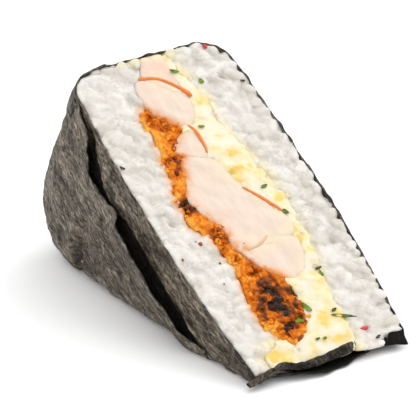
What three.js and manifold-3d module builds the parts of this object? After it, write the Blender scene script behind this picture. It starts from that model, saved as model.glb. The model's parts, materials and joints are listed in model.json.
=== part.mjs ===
// Half of a triangular onigiri, cut from the middle of its base to its apex and
// laid on its slanted side with the cut face up. Millimetres, +Z up.
//
// The half is drawn first in the cut's own coordinates and then laid down:
//   along   from the base (0) to the apex, in the cut
//   depth   from the cut (0) down into the half
//   across  through the thickness, from one broad face to the other
import * as THREE from "three";
import { mergeVertices } from "three/addons/utils/BufferGeometryUtils.js";
import Module from "manifold-3d";

const wasm = await Module();
wasm.setup();

// ---- Driving dimensions --------------------------------------------------
const height = 80.4; // base to apex, over the nori
const halfWidth = 40.4; // cut to the far base corner, over the nori
const thickness = 39.4; // between the broad faces at their fullest
const cornerRadius = 13; // of the triangle's base corner
const apexRadius = 5; // of the triangle's apex
const faceSag = 1.9; // how much thinner the half is at its base and apex
const cornerSag = 1.2; // and at its far corner
const baseEdgeRadius = 6; // broad face to base
const slantEdgeRadius = 4; // broad face to slanted side
const apexEdgeRadius = 1.6; // broad face to apex
const cutLean = 1.2; // how much higher the cut is at one end of the base

const noriThickness = 0.6;
const contactGap = 0.3; // kept between pieces that touch
const noriBuild = noriThickness + contactGap;

const slitDepth = 6.4; // cut edge to the overlapping flap's edge
const flapLift = 1.8; // how far the flap's edge stands off
const apexGap = 2.1; // how far the outer nori stands off the apex
const tuckInset = 0.08; // how far the tucked end lies under the outer nori
const tuckRise = 1.2; // how far it stands above the cut
const tuckSpan = [0.36, -0.5]; // and where it lies across the apex, in half widths
const edgeDrop = 0.9; // nori edge below the rice on the far side of the cut
const edgeRagged = 0.35;

const riceRelief = 0.5; // bumps of the grains at the cut
const riceGrain = 4.6; // pitch of those bumps
const fillingRelief = 0.25;
const fillingLump = 7;

const overCut = 4; // how far the uncut block stands above the cut
const segments = { base: 5, corner: 7, slant: 13, apex: 4, face: 4, edge: 3, wall: 5 }; // wall stays odd

// ---- Small mathematics ---------------------------------------------------
const { lerp, clamp, smoothstep } = THREE.MathUtils;

// A bump from 0 up to 1 and back to 0 over [from, to].
function hump(x, from, to) {
  return Math.sin(Math.PI * clamp((x - from) / (to - from), 0, 1));
}

// Soft waves that never line up, between about -1 and 1.
function ripple(a, b, pitch) {
  const u = (2 * Math.PI * a) / pitch;
  const v = (2 * Math.PI * b) / pitch;
  return (Math.sin(u + 1.7 * Math.sin(0.61 * v)) + Math.sin(v + 1.3 * Math.sin(0.53 * u + 2))) / 2;
}

// ---- The outline of the half ---------------------------------------------
// Two circles carry it: the far base corner, and the apex, whose centre lies in the cut.
const corner = { along: cornerRadius, depth: halfWidth - cornerRadius, radius: cornerRadius };
const apex = { along: height - apexRadius, depth: 0, radius: apexRadius };
const run = apex.along - corner.along;
const slope =
  Math.atan2(corner.depth, run) +
  Math.asin((corner.radius - apex.radius) / Math.hypot(run, corner.depth));

// Points of the outline from the base end of the cut, round the corner and along the slanted
// side to the apex end of the cut, each with its outward normal and its broad face's edge radius.
function outline(past) {
  const points = [];
  const slantNormal = Math.PI / 2 - slope; // measured from "along" towards "depth"
  const add = (along, depth, angle, edge) =>
    points.push({ along, depth, normal: [Math.cos(angle), Math.sin(angle)], edge });
  for (let i = 0; i <= segments.base; i++)
    add(0, lerp(-past, corner.depth, i / segments.base), Math.PI, baseEdgeRadius);
  for (let i = 1; i <= segments.corner; i++) {
    const angle = lerp(Math.PI, slantNormal, i / segments.corner);
    add(
      corner.along + corner.radius * Math.cos(angle),
      corner.depth + corner.radius * Math.sin(angle),
      angle,
      lerp(baseEdgeRadius, slantEdgeRadius, i / segments.corner),
    );
  }
  const start = points.at(-1);
  const end = {
    along: apex.along + apex.radius * Math.cos(slantNormal),
    depth: apex.radius * Math.sin(slantNormal),
  };
  for (let i = 1; i <= segments.slant; i++) {
    const t = i / segments.slant;
    const edge = lerp(slantEdgeRadius, apexEdgeRadius, smoothstep(t, 0.5, 1));
    add(lerp(start.along, end.along, t), lerp(start.depth, end.depth, t), slantNormal, edge);
  }
  for (let i = 1; i <= segments.apex; i++) {
    const angle = lerp(slantNormal, 0, i / segments.apex);
    add(
      apex.along + apex.radius * Math.cos(angle),
      apex.radius * Math.sin(angle),
      angle,
      apexEdgeRadius,
    );
  }
  if (past > 0) add(height, -past, 0, apexEdgeRadius);
  return points;
}

function halfThickness(along, depth) {
  const middle = height / 2;
  const farness = Math.max(depth, 0) / halfWidth;
  return thickness / 2 - faceSag * ((along - middle) / middle) ** 2 - cornerSag * farness ** 2;
}

// ---- The skin over that outline ------------------------------------------
// From the cut's edge on the first broad face (side -1), down that face, round its edge, over the
// wall, and up the other face (side 1). toCut is the share of the way from the edge to the cut,
// turn the angle round the edge in degrees, and over the place across the wall, from -1 to 1.
function skinStations() {
  const { face, edge, wall } = segments;
  const stations = [];
  for (let i = 0; i < face; i++) stations.push({ side: -1, toCut: 1 - i / face, turn: 90 });
  for (let i = 0; i < edge; i++) stations.push({ side: -1, toCut: 0, turn: 90 - (90 * i) / edge });
  for (let i = 0; i <= wall; i++) stations.push({ side: 0, toCut: 0, turn: 0, over: (2 * i) / wall - 1 });
  for (let i = edge - 1; i >= 0; i--) stations.push({ side: 1, toCut: 0, turn: 90 - (90 * i) / edge });
  for (let i = face - 1; i >= 0; i--) stations.push({ side: 1, toCut: 1 - i / face, turn: 90 });
  return stations;
}

// A point of the skin, raised by "raise" along its normal, as [along, depth, across].
function skinPoint(row, share, past, station, raise) {
  const { along, depth, normal, edge } = row;
  const turn = THREE.MathUtils.degToRad(station.turn);
  const shift = -edge * (1 - Math.cos(turn)) + raise * Math.cos(turn);
  let a = along + shift * normal[0];
  let d = depth + shift * normal[1];
  if (station.toCut > 0) {
    a = lerp(a, lerp(edge, height - apexEdgeRadius, share), station.toCut);
    d = lerp(d, -past, station.toCut);
  }
  const flat = halfThickness(a, d) - edge * (1 - Math.sin(turn)) + raise * Math.sin(turn);
  const across = station.side === 0 ? station.over * (halfThickness(a, d) - edge) : station.side * flat;
  return [a, d, across];
}

// ---- Solids --------------------------------------------------------------
function solidFromQuads(points, quads) {
  const geometry = new THREE.BufferGeometry()
    .setAttribute("position", new THREE.Float32BufferAttribute(points.flat(), 3))
    .setIndex(quads.flatMap(([a, b, c, d]) => [a, c, b, a, d, c]));
  return solidFromGeometry(geometry);
}

// Corners that coincide are joined, and the triangles that this folds flat are dropped.
function solidFromGeometry(geometry) {
  const bare = geometry.clone();
  bare.deleteAttribute("normal");
  bare.deleteAttribute("uv");
  const merged = mergeVertices(bare, 1e-4);
  const index = merged.index.array;
  const triangles = [];
  for (let i = 0; i < index.length; i += 3) {
    const [a, b, c] = index.subarray(i, i + 3);
    if (a !== b && b !== c && c !== a) triangles.push(a, b, c);
  }
  return new wasm.Manifold(
    new wasm.Mesh({
      numProp: 3,
      vertProperties: merged.attributes.position.array,
      triVerts: new Uint32Array(triangles),
    }),
  );
}

// The half, raised by raise(row, station) and standing "past" above the cut.
function halfBody(raise, past) {
  const rows = outline(past);
  const stations = skinStations();
  const width = stations.length;
  const points = [];
  rows.forEach((row, i) => {
    const share = i / (rows.length - 1);
    stations.forEach((station) =>
      points.push(skinPoint(row, share, past, station, raise(row, station))),
    );
  });
  const quads = [];
  for (let i = 0; i + 1 < rows.length; i++)
    for (let j = 0; j < width; j++) {
      const k = (j + 1) % width;
      quads.push([i * width + j, (i + 1) * width + j, (i + 1) * width + k, i * width + k]);
    }
  // The ends at the base and the apex are flat ladders between the two broad faces.
  const last = (rows.length - 1) * width;
  for (let j = 0; 2 * j + 3 < width; j++) {
    quads.push([j, j + 1, width - 2 - j, width - 1 - j]);
    quads.push([last + j + 1, last + j, last + width - 1 - j, last + width - 2 - j]);
  }
  return solidFromQuads(points, quads);
}

// A closed solid between two grids of points of the same size.
function solidBetween(near, far) {
  const [rows, columns] = [near.length, near[0].length];
  const at = (i, j) => i * columns + j;
  const back = rows * columns;
  const quads = [];
  for (let i = 0; i + 1 < rows; i++)
    for (let j = 0; j + 1 < columns; j++) {
      const cell = [at(i, j), at(i + 1, j), at(i + 1, j + 1), at(i, j + 1)];
      quads.push(cell, cell.map((k) => back + k).reverse());
    }
  const count = (n, index) => Array.from({ length: n }, (_, k) => index(k));
  const rim = [
    ...count(rows - 1, (i) => at(i, 0)),
    ...count(columns - 1, (j) => at(rows - 1, j)),
    ...count(rows - 1, (i) => at(rows - 1 - i, columns - 1)),
    ...count(columns - 1, (j) => at(0, columns - 1 - j)),
  ];
  rim.forEach((k, n) => {
    const next = rim[(n + 1) % rim.length];
    quads.push([next, k, back + k, back + next]);
  });
  return solidFromQuads([...near.flat(), ...far.flat()], quads);
}

// What the knife takes away: everything above depth = level(along, across).
function knife(level) {
  const [from, to, side, top, step] = [-8, height + 8, 26, -14, 2.6];
  const rows = Math.round((to - from) / step);
  const columns = Math.round((2 * side) / step);
  const grid = (depthAt) =>
    Array.from({ length: rows + 1 }, (_, i) =>
      Array.from({ length: columns + 1 }, (_, j) => {
        const along = lerp(from, to, i / rows);
        const across = lerp(-side, side, j / columns);
        return [along, depthAt(along, across), across];
      }),
    );
  return solidBetween(grid(level), grid(() => top));
}

// The depth of the cut itself: it leans a little at the base.
function cutLevel(along, across) {
  return -cutLean * (0.5 + across / thickness) * clamp(1 - along / height, 0, 1);
}

// A prism through the whole half, from an outline of [along, across] points in the cut.
function layerPrism(points) {
  const shape = new THREE.Shape(points.map(([along, across]) => new THREE.Vector2(along, across)));
  const geometry = new THREE.ExtrudeGeometry(shape, { depth: halfWidth + 12, bevelEnabled: false });
  geometry.rotateX(Math.PI / 2); // the shape's y becomes z, and its depth runs to -y
  geometry.translate(0, halfWidth + 6, 0);
  return solidFromGeometry(geometry);
}

// ---- What shows at the cut, as [along, across] ----------------------------
const meatOutlines = {
  meat_top: [[-4, 0.6], [-4, 3.4], [1, 3.6], [8, 4.2], [11.4, 4.1], [7.2, -0.5], [5.4, -2.9], [2, -0.8]],
  meat_upper: [[6, -4.3], [8.6, -0.2], [13.6, 3.9], [19.6, 1.4], [19.4, -0.4], [15.4, -4], [12.8, -5.4]],
  meat_small: [[20.6, 0], [23, 1], [28, 0.5], [27, -2.6], [25.2, -5.2], [22.8, -3.8]],
  meat_main: [
    [28.6, 1], [35.5, 2.8], [43, 6.9], [46.4, 8.3], [49.6, 8.2], [50.4, 3], [50.8, -2], [50, -5.6],
    [46.4, -5.2], [43.6, -6.4], [39.8, -8.3], [36, -8.7], [32.4, -6.8], [26.6, -4.6], [27.8, -2],
  ],
  meat_end: [[52.4, -5], [52.6, -1], [51.8, 8], [57.6, 6.6], [60.4, 4.2], [60.8, 1.8], [58.2, -1.2]],
};

// Bands that run along the cut: [along, one edge, other edge].
const crumbBand = [
  [13, -7.2, -6], [16, -8.4, -3.6], [19, -7.6, -1], [22, -8.2, -2.4], [26, -9, -3.4], [31, -9.8, -6],
  [37, -11.4, -8.4], [43, -11.4, -6.2], [46, -9.4, -5], [51, -8.5, -4.2], [55, -7.9, -3],
  [62, -9.3, 1], [67, -10, 0.9], [71, -9, 0], [76, -6.8, -4],
];
const eggBand = [
  [-6, 2, 4.6], [3, 1.6, 4.9], [8, -1.6, 5.2], [14, 0, 6.6], [20, -1.6, 6.2], [30, -1, 8.2],
  [37, 0, 9.3], [44, 2, 9.6], [48, -2, 9.5], [52, -4.6, 9.2], [57, -2.4, 8.2], [62, 0, 6.8],
  [68, -2, 5.8], [73, -5, 5.2], [76, -11.6, 5.2], [79, -12.6, 5.4], [90, -12.6, 5.4],
];

const bandStep = 1.8;

// Smooth points through [along, ...] stations, every bandStep.
function bandOutline(stations) {
  const edges = [1, 2].map((side) => {
    const curve = new THREE.SplineCurve(stations.map((s) => new THREE.Vector2(s[0], s[side])));
    return curve.getSpacedPoints(Math.round(curve.getLength() / bandStep));
  });
  return [...edges[0], ...edges[1].reverse()].map((p) => [p.x, p.y]);
}

function closedOutline(corners) {
  const curve = new THREE.CatmullRomCurve3(corners.map(([a, c]) => new THREE.Vector3(a, c, 0)), true);
  const points = curve.getSpacedPoints(Math.round(curve.getLength() / bandStep));
  return points.slice(0, -1).map((p) => [p.x, p.y]);
}

// The same outline moved outwards by "by".
function grown(points, by) {
  const turn = Math.sign(THREE.ShapeUtils.area(points.map(([x, y]) => ({ x, y }))));
  return points.map(([a, c], i) => {
    const [a0, c0] = points.at(i - 1);
    const [a1, c1] = points[(i + 1) % points.length];
    const length = Math.hypot(a1 - a0, c1 - c0);
    return [a + (turn * by * (c1 - c0)) / length, c - (turn * by * (a1 - a0)) / length];
  });
}

// ---- The food ------------------------------------------------------------
const core = halfBody(() => -noriBuild, overCut);

// The block under the nori, cut with bumps of the given height and pitch.
function cutCore(relief, pitch) {
  return core.subtract(knife((a, c) => cutLevel(a, c) + relief * ripple(a, c, pitch)));
}

const riceCore = cutCore(riceRelief, riceGrain);
const fillingCore = cutCore(fillingRelief, fillingLump);

const solids = {};
let taken = null; // all the filling so far, each piece with the gap round it

function takeFilling(name, points) {
  const piece = fillingCore.intersect(layerPrism(points));
  solids[name] = taken ? piece.subtract(taken) : piece;
  const room = layerPrism(grown(points, contactGap));
  taken = taken ? taken.add(room) : room;
}

for (const [name, corners] of Object.entries(meatOutlines)) takeFilling(name, closedOutline(corners));
takeFilling("crumb_coat", bandOutline(crumbBand));
takeFilling("egg_salad", bandOutline(eggBand));

// Each rice layer is what is left on its side of the filling, side -1 or 1.
function riceSide(side) {
  const inFilling = crumbBand.slice(1, -1).map(([along, edge]) => [along, edge + 1]);
  const middle = [[-8, 1], [8, 0], ...inFilling, [78, -4], [height + 6, -4]];
  const beyond = side * thickness;
  const half = layerPrism([...middle, [height + 6, beyond], [-8, beyond]]);
  return riceCore.intersect(half).subtract(taken);
}
solids.rice_thin_side = riceSide(-1);
solids.rice_thick_side = riceSide(1);

// ---- The nori ------------------------------------------------------------
// Round the apex the outer nori stands off the food, most in the middle of its width.
function standOff(row, station) {
  const roundApex = smoothstep(row.normal[0], 0.8, 1); // nothing reaches below the slanted side
  const inMiddle = station.side === 0 ? 1 - Math.abs(station.over) ** 3 : 0;
  return apexGap * roundApex * inMiddle;
}

// The nori's own edge at the cut is ragged, and sits a little below the food on the far side.
function noriEdge(along, across) {
  const farSide = smoothstep(across, 0, thickness / 3);
  return cutLevel(along, across) + edgeDrop * farSide + edgeRagged * ripple(along, across, 9);
}

const wrap = halfBody(standOff, overCut)
  .subtract(halfBody((row, station) => standOff(row, station) - noriThickness, 2 * overCut))
  .subtract(knife(noriEdge));

// The flap folded over from the slanted side: its straight edge runs beside the cut.
function flapPoint(row, share, place, reach, thick) {
  const along = hump(row.along, 6, height - 8);
  const lift = flapLift * along * smoothstep(reach, 0.55, 1);
  const seated = lerp(-0.5, 0.5, smoothstep(reach, 0, 0.3));
  return skinPoint(row, share, 0, { side: -1, ...place }, seated + lift + thick);
}

function flap() {
  const rows = outline(0);
  const reachOf = (row) => row.depth - row.edge * row.normal[1];
  const layer = (thick) =>
    rows.flatMap((row, i) => {
      if (reachOf(row) < slitDepth + 1) return [];
      const places = [];
      for (let j = 0; j <= segments.edge; j++)
        places.push({ turn: lerp(30, 90, j / segments.edge), toCut: 0 });
      for (let j = 1; j <= segments.face; j++)
        places.push({ turn: 90, toCut: ((1 - slitDepth / reachOf(row)) * j) / segments.face });
      const share = i / (rows.length - 1);
      return [places.map((p, j) => flapPoint(row, share, p, j / (places.length - 1), thick))];
    });
  return solidBetween(layer(0), layer(noriThickness));
}

// The end of the sheet tucked in between the food and the outer nori at the apex.
function tuck() {
  const rows = outline(tuckRise).filter((row) => row.along > height - 12);
  const columns = 8;
  const layer = (raise) =>
    rows.map((row) =>
      Array.from({ length: columns + 1 }, (_, j) => {
        const over = lerp(...tuckSpan, j / columns);
        return skinPoint(row, 0, 0, { side: 0, turn: 0, toCut: 0, over }, raise);
      }),
    );
  return solidBetween(layer(-noriThickness - tuckInset), layer(-tuckInset));
}

solids.nori_sheet = wrap.add(flap()).add(tuck());

// ---- Laying the half down and naming its pieces ---------------------------
// The slanted side becomes the bottom, and the apex points along +X.
const layDown = new THREE.Matrix4().set(
  Math.cos(slope), -Math.sin(slope), 0, 0,
  0, 0, 1, 0,
  -Math.sin(slope), -Math.cos(slope), 0, apex.radius + apex.along * Math.sin(slope),
  0, 0, 0, 1,
);

const looks = {
  rice: { color: 0xe9e2d6, roughness: 0.55 },
  meat: { color: 0xf3d9c2, roughness: 0.5 },
  crumb: { color: 0xb0602a, roughness: 0.6 },
  egg: { color: 0xf6e6b4, roughness: 0.5 },
  nori: { color: 0x2b2a24, roughness: 0.6 },
};

function lookOf(name) {
  const key = Object.keys(looks).find((word) => name.startsWith(word));
  return new THREE.MeshStandardMaterial({ ...looks[key], metalness: 0 });
}

function meshOf(name, solid) {
  const { numProp, numVert, vertProperties, triVerts } = solid.getMesh();
  const positions = new Float32Array(numVert * 3);
  for (let i = 0; i < numVert; i++)
    positions.set(vertProperties.subarray(i * numProp, i * numProp + 3), i * 3);
  const geometry = new THREE.BufferGeometry()
    .setAttribute("position", new THREE.BufferAttribute(positions, 3))
    .setIndex(new THREE.BufferAttribute(triVerts, 1));
  geometry.applyMatrix4(layDown);
  geometry.computeVertexNormals();
  const mesh = new THREE.Mesh(geometry, lookOf(name));
  mesh.name = name;
  return mesh;
}

const onigiri = new THREE.Group();
for (const [name, solid] of Object.entries(solids)) onigiri.add(meshOf(name, solid));

// The origin is under the middle of the whole half, on the surface that it rests on.
const box = new THREE.Box3().setFromObject(onigiri);
onigiri.position.set(-(box.min.x + box.max.x) / 2, -(box.min.y + box.max.y) / 2, -box.min.z);

export default onigiri;
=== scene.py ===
# %% [markdown]
# # Half of a cut onigiri
# A triangular rice ball wrapped in one sheet of nori, cut in two from its base to its apex. The
# half lies on its slanted side, so that the cut face is a ramp that shows the rice, the egg salad,
# the meat and the spicy crumb between them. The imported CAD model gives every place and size: it is
# loaded first, and each piece made here stands in for one or more of its plain solids.

# %% Load the frame
import json
import math

import bmesh
import bpy
import numpy as np
from mathutils import Matrix, Vector
from mathutils.bvhtree import BVHTree
from mathutils.kdtree import KDTree

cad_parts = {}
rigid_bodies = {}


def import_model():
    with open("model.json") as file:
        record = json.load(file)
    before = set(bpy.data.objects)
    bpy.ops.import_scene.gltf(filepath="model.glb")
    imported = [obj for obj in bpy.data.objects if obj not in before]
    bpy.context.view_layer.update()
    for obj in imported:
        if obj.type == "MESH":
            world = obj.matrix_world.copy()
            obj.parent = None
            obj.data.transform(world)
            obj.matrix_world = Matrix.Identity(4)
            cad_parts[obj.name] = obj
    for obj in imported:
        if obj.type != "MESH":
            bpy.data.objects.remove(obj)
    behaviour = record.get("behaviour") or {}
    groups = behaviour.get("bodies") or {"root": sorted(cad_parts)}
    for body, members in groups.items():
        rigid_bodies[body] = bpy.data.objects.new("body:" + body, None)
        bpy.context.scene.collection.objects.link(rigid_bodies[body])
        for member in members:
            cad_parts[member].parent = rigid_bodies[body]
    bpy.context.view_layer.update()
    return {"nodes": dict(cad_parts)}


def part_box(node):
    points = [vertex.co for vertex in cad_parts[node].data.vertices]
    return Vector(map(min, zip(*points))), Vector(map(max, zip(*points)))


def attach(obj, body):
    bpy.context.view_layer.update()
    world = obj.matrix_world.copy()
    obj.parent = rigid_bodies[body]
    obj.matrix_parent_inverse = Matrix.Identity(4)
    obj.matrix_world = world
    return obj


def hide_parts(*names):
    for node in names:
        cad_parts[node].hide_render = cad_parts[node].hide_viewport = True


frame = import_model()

print("nodes:", sorted(frame["nodes"]))

# %% [markdown]
# ## Driving sizes
# A pressed onigiri is a triangle with round corners, as thick as its mould is deep. These are the
# few sizes that drive the CAD model too, so its looks and its solids stay in step. They also give
# the slope at which the cut lies when the half rests on its slanted side.

# %% Driving sizes, in millimetres
MM = 0.001
HEIGHT = 80.4
HALF_WIDTH = 40.4
THICKNESS = 39.4
CORNER_RADIUS = 13.0
APEX_RADIUS = 5.0
FACE_SAG = 1.9
CORNER_SAG = 1.2
BASE_EDGE, SLANT_EDGE, APEX_EDGE = 6.0, 4.0, 1.6
CUT_LEAN = 1.2

corner_along, corner_depth = CORNER_RADIUS, HALF_WIDTH - CORNER_RADIUS
apex_along = HEIGHT - APEX_RADIUS
run = apex_along - corner_along
SLOPE = math.atan2(corner_depth, run) + math.asin(
    (CORNER_RADIUS - APEX_RADIUS) / math.hypot(run, corner_depth)
)
COS, SIN = math.cos(SLOPE), math.sin(SLOPE)
print("slope of the cut:", round(math.degrees(SLOPE), 2), "degrees")

# %% [markdown]
# ## The cut's own coordinates
# A cut face that slopes is awkward to model on in world axes. So every shape is thought out in the
# cut's own coordinates, in millimetres: along from the base to the apex, depth down into the half,
# and across from one broad face to the other. One turn about Y takes them to the world, and the
# box of the CAD model's nori gives the place.

# %% From cut coordinates to the world and back
low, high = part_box("nori_sheet")
X0 = low.x / MM + CORNER_RADIUS - (corner_along * COS - corner_depth * SIN)
Y0 = high.y / MM - THICKNESS / 2
Z0 = APEX_RADIUS + apex_along * SIN


def place(points):
    """Cut coordinates in millimetres to world metres."""
    a, d, c = np.moveaxis(np.asarray(points, float), -1, 0)
    return np.stack([a * COS - d * SIN + X0, c + Y0, Z0 - a * SIN - d * COS], axis=-1) * MM


def unplace(points):
    """World metres to cut coordinates in millimetres."""
    x, y, z = np.moveaxis(np.asarray(points, float) / MM, -1, 0)
    x, z = x - X0, Z0 - z
    return np.stack([x * COS + z * SIN, z * COS - x * SIN, y - Y0], axis=-1)


def smoothstep(x, low, high):
    """A soft step from 0 at low to 1 at high."""
    t = np.clip((np.asarray(x, float) - low) / (high - low), 0, 1)
    return t * t * (3 - 2 * t)


def spot(x, y, centre_x, centre_y, reach):
    """1 at a centre, fading to nearly 0 within about two reaches of it."""
    return np.exp(-(((x - centre_x) ** 2 + (y - centre_y) ** 2) / reach**2))


def cut_level(a, c):
    """Depth of the knife's plane: it leans a little at the base."""
    return -CUT_LEAN * (0.5 + c / THICKNESS) * np.clip(1 - a / HEIGHT, 0, 1)


def half_thickness(a, d):
    """How far the broad faces stand from the middle: they sag towards the ends and the corner."""
    sag = FACE_SAG * ((a - HEIGHT / 2) / (HEIGHT / 2)) ** 2
    return THICKNESS / 2 - sag - CORNER_SAG * (np.maximum(d, 0) / HALF_WIDTH) ** 2


cut_start, cut_end = place([[0, 0, 0], [HEIGHT, 0, 0]])
print("cut starts at", np.round(cut_start, 4), "and ends at", np.round(cut_end, 4))

# %% [markdown]
# ## Noise
# Food is uneven at every size. Blender's textures can only move a shaded surface, and here the
# real mesh has to be uneven, so a small lattice noise is written with numpy: it is quick on a
# whole array of points, and its seed keeps each run the same.

# %% Lattice noise and its layers
def lattice(points, seed=0):
    """Smooth noise from -1 to 1 at points whose unit is one lattice cell."""
    p = np.asarray(points, float)
    cell = np.floor(p).astype(np.int64)
    f = p - cell
    f = f * f * f * (f * (f * 6 - 15) + 10)
    total = np.zeros(p.shape[:-1])
    for corner in range(8):
        bit = np.array([corner & 1, corner >> 1 & 1, corner >> 2 & 1])
        x, y, z = np.moveaxis(cell + bit, -1, 0)
        h = (x * 374761393 + y * 668265263 + z * 1440662683 + seed * 974634777) & 0xFFFFFFFF
        h = ((h ^ (h >> 13)) * 1274126177) & 0xFFFFFFFF
        value = ((h ^ (h >> 16)) & 0xFFFF) / 32767.5 - 1
        total += value * np.prod(np.where(bit, f, 1 - f), axis=-1)
    return total


def fractal(points, size, octaves=3, seed=0):
    """Noise whose largest lumps are about size across."""
    total, weight, amount = 0.0, 1.0, 0.0
    for octave in range(octaves):
        total = total + weight * lattice(np.asarray(points) * 2**octave / size, seed + octave)
        amount += weight
        weight *= 0.5
    return total / amount


def along_curve(stations, x):
    """Smooth values between stations given as pairs."""
    known, values = np.array(stations, float).T
    i = np.clip(np.searchsorted(known, x) - 1, 0, len(known) - 2)
    t = np.clip((x - known[i]) / (known[i + 1] - known[i]), 0, 1)
    return values[i] + (values[i + 1] - values[i]) * t * t * (3 - 2 * t)


def ridges(points, size, seed=0):
    """Narrow crests, 1 on the crest and 0 away from it."""
    return np.clip(1 - np.abs(fractal(points, size, 2, seed)) * 4, 0, 1) ** 2


print("noise sample:", np.round(fractal(np.array([[1.5, 2.5, 3.5]]), 2.0), 3))

# %% [markdown]
# ## Meshes
# Every piece is a mesh whose points can be read in cut coordinates, moved with numpy and written
# back. A number can be kept at each point as well, such as how burnt a crumb is there, and the
# materials read those numbers. These few helpers keep the rest short.

# %% Helpers for meshes
def add_object(name, data):
    """A new object in the scene."""
    obj = bpy.data.objects.new(name, data)
    bpy.context.scene.collection.objects.link(obj)
    return obj


def shade_faces(mesh, smooth=True):
    """Shades all faces of a mesh smooth or flat."""
    mesh.polygons.foreach_set("use_smooth", [smooth] * len(mesh.polygons))


def mesh_object(name, points, faces):
    """An object at the origin from points in cut coordinates."""
    mesh = bpy.data.meshes.new(name)
    mesh.from_pydata(place(points).tolist(), [], [list(map(int, f)) for f in faces])
    shade_faces(mesh)
    mesh.update()
    return add_object(name, mesh)


def points_of(obj):
    co = np.zeros(len(obj.data.vertices) * 3)
    obj.data.vertices.foreach_get("co", co)
    return unplace(co.reshape(-1, 3))


def move_points(obj, points):
    obj.data.vertices.foreach_set("co", place(points).ravel())
    obj.data.update()


def set_attribute(obj, name, values):
    """Keeps a number at each point, or one number at all of them."""
    attribute = obj.data.attributes.get(name) or obj.data.attributes.new(name, "FLOAT", "POINT")
    attribute.data.foreach_set("value", np.full(len(obj.data.vertices), values, np.float32))


def read_attribute(obj, name):
    values = np.zeros(len(obj.data.vertices), np.float32)
    obj.data.attributes[name].data.foreach_get("value", values)
    return values


def weld(obj, within, face_out=True):
    """Joins points that lie within a distance in metres, and turns the faces outwards."""
    work = bmesh.new()
    work.from_mesh(obj.data)
    bmesh.ops.remove_doubles(work, verts=work.verts, dist=within)
    if face_out:
        bmesh.ops.recalc_face_normals(work, faces=work.faces)
    work.to_mesh(obj.data)
    work.free()


def finish_piece(obj, slot, *nodes):
    """Attaches the piece to the root body and hides the CAD nodes it stands in for; slot is not used.
    """
    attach(obj, "root")
    if nodes:
        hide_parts(*nodes)
    triangles = sum(len(p.vertices) - 2 for p in obj.data.polygons)
    print(f"{obj.name}: {triangles} triangles")


# %% [markdown]
# ## Materials
# Food has no flat colours: each finish needs noise in its colour and a fine bump. This class keeps
# a material's nodes together, so that a finish is a few lines that read like a recipe. The studio
# is a little brighter than plain white, as it is for food on a white sweep, so every colour is
# given as it should look and then divided by that brightness.

# %% Helpers for materials
def feed(tree, socket, value):
    """Links another node's output to a socket, or sets a plain value on it."""
    if isinstance(value, bpy.types.NodeSocket):
        tree.links.new(value, socket)
    else:
        socket.default_value = value


def add_node(tree, kind, settings=None, **inputs):
    """Adds a node; i0, i1 and so on stand for its inputs by number."""
    node = tree.nodes.new(kind)
    for key, value in (settings or {}).items():
        setattr(node, key, value)
    for key, value in inputs.items():
        by_number = key[0] == "i" and key[1:].isdigit()
        socket = int(key[1:]) if by_number else key.replace("_", " ")
        feed(tree, node.inputs[socket], value)
    return node


class Finish:
    """A material, its Principled shader and a short way to add nodes to it."""

    def __init__(self, name, **sockets):
        self.material = bpy.data.materials.new(name)
        self.material.use_nodes = True
        self.tree = self.material.node_tree
        self.shader = self.tree.nodes["Principled BSDF"]
        for socket, value in sockets.items():
            self.shader.inputs[socket.replace("_", " ")].default_value = value

    def node(self, kind, settings=None, **inputs):
        return add_node(self.tree, kind, settings, **inputs)

    def give(self, name, value):
        """Feeds one of the shader's own inputs."""
        feed(self.tree, self.shader.inputs[name], value)

    def paint(self, color):
        self.give("Base Color", color)

    def coordinates(self, scale):
        source = self.node("ShaderNodeTexCoord").outputs["Object"]
        return self.node("ShaderNodeMapping", Vector=source, Scale=scale).outputs[0]

    def noise(self, scale=1.0, detail=3.0, roughness=0.55, warp=0.0, vector=None):
        """Noise with about as many lumps to a millimetre as its scale, or drawn on a vector."""
        if vector is None:
            vector = self.coordinates(PER_MM)
        amounts = dict(Scale=scale, Detail=detail, Roughness=roughness, Distortion=warp)
        return self.node("ShaderNodeTexNoise", Vector=vector, **amounts).outputs["Fac"]

    def attribute(self, name):
        return self.node("ShaderNodeAttribute", {"attribute_name": name}).outputs["Fac"]

    def spread(self, value, low, high, to_low, to_high):
        """Turns the range from low to high into the one from to_low to to_high."""
        ends = dict(i1=low, i2=high, i3=to_low, i4=to_high)
        return self.node("ShaderNodeMapRange", i0=value, **ends).outputs[0]

    def math(self, operation, a, b=0.0):
        return self.node("ShaderNodeMath", {"operation": operation}, i0=a, i1=b).outputs[0]

    def mix(self, factor, a, b):
        return self.node("ShaderNodeMix", {"data_type": "RGBA"}, i0=factor, i6=a, i7=b).outputs[2]

    def blot(self, color, name, stain_color, strength):
        """Lets a neighbour's colour seep in where an attribute says it is near."""
        cloud = self.noise(scale=0.55)
        cloudy = self.spread(cloud, 0.36, 0.62, 0.1, 1.0)
        near = self.math("MULTIPLY", self.attribute(name), cloudy)
        return self.mix(self.math("MULTIPLY", near, strength), color, (*stain_color, 1))

    def ramp(self, factor, *stops):
        node = self.node("ShaderNodeValToRGB", Fac=factor)
        elements = node.color_ramp.elements
        while len(elements) < len(stops):
            elements.new(0.5)
        for element, (position, color) in zip(elements, stops):
            element.position, element.color = position, (*color, 1)
        return node.outputs[0]

    def bump(self, height, distance, strength=1.0):
        node = self.node("ShaderNodeBump", Height=height, Distance=distance * MM, Strength=strength)
        self.give("Normal", node.outputs[0])


STUDIO = 1.32
PER_MM = (1000.0, 1000.0, 1000.0)


def linear(v):
    """One sRGB value, 0 to 255, as linear light."""
    return v / 3295 if v <= 10 else ((v / 255 + 0.055) / 1.055) ** 2.4


def rgb(r, g, b):
    """The linear reflectance of a thing that looks r, g, b (0 to 255) in the studio light."""
    return tuple(linear(v) / STUDIO for v in (r, g, b))


print("a mid grey is", np.round(rgb(128, 128, 128), 3))

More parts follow.
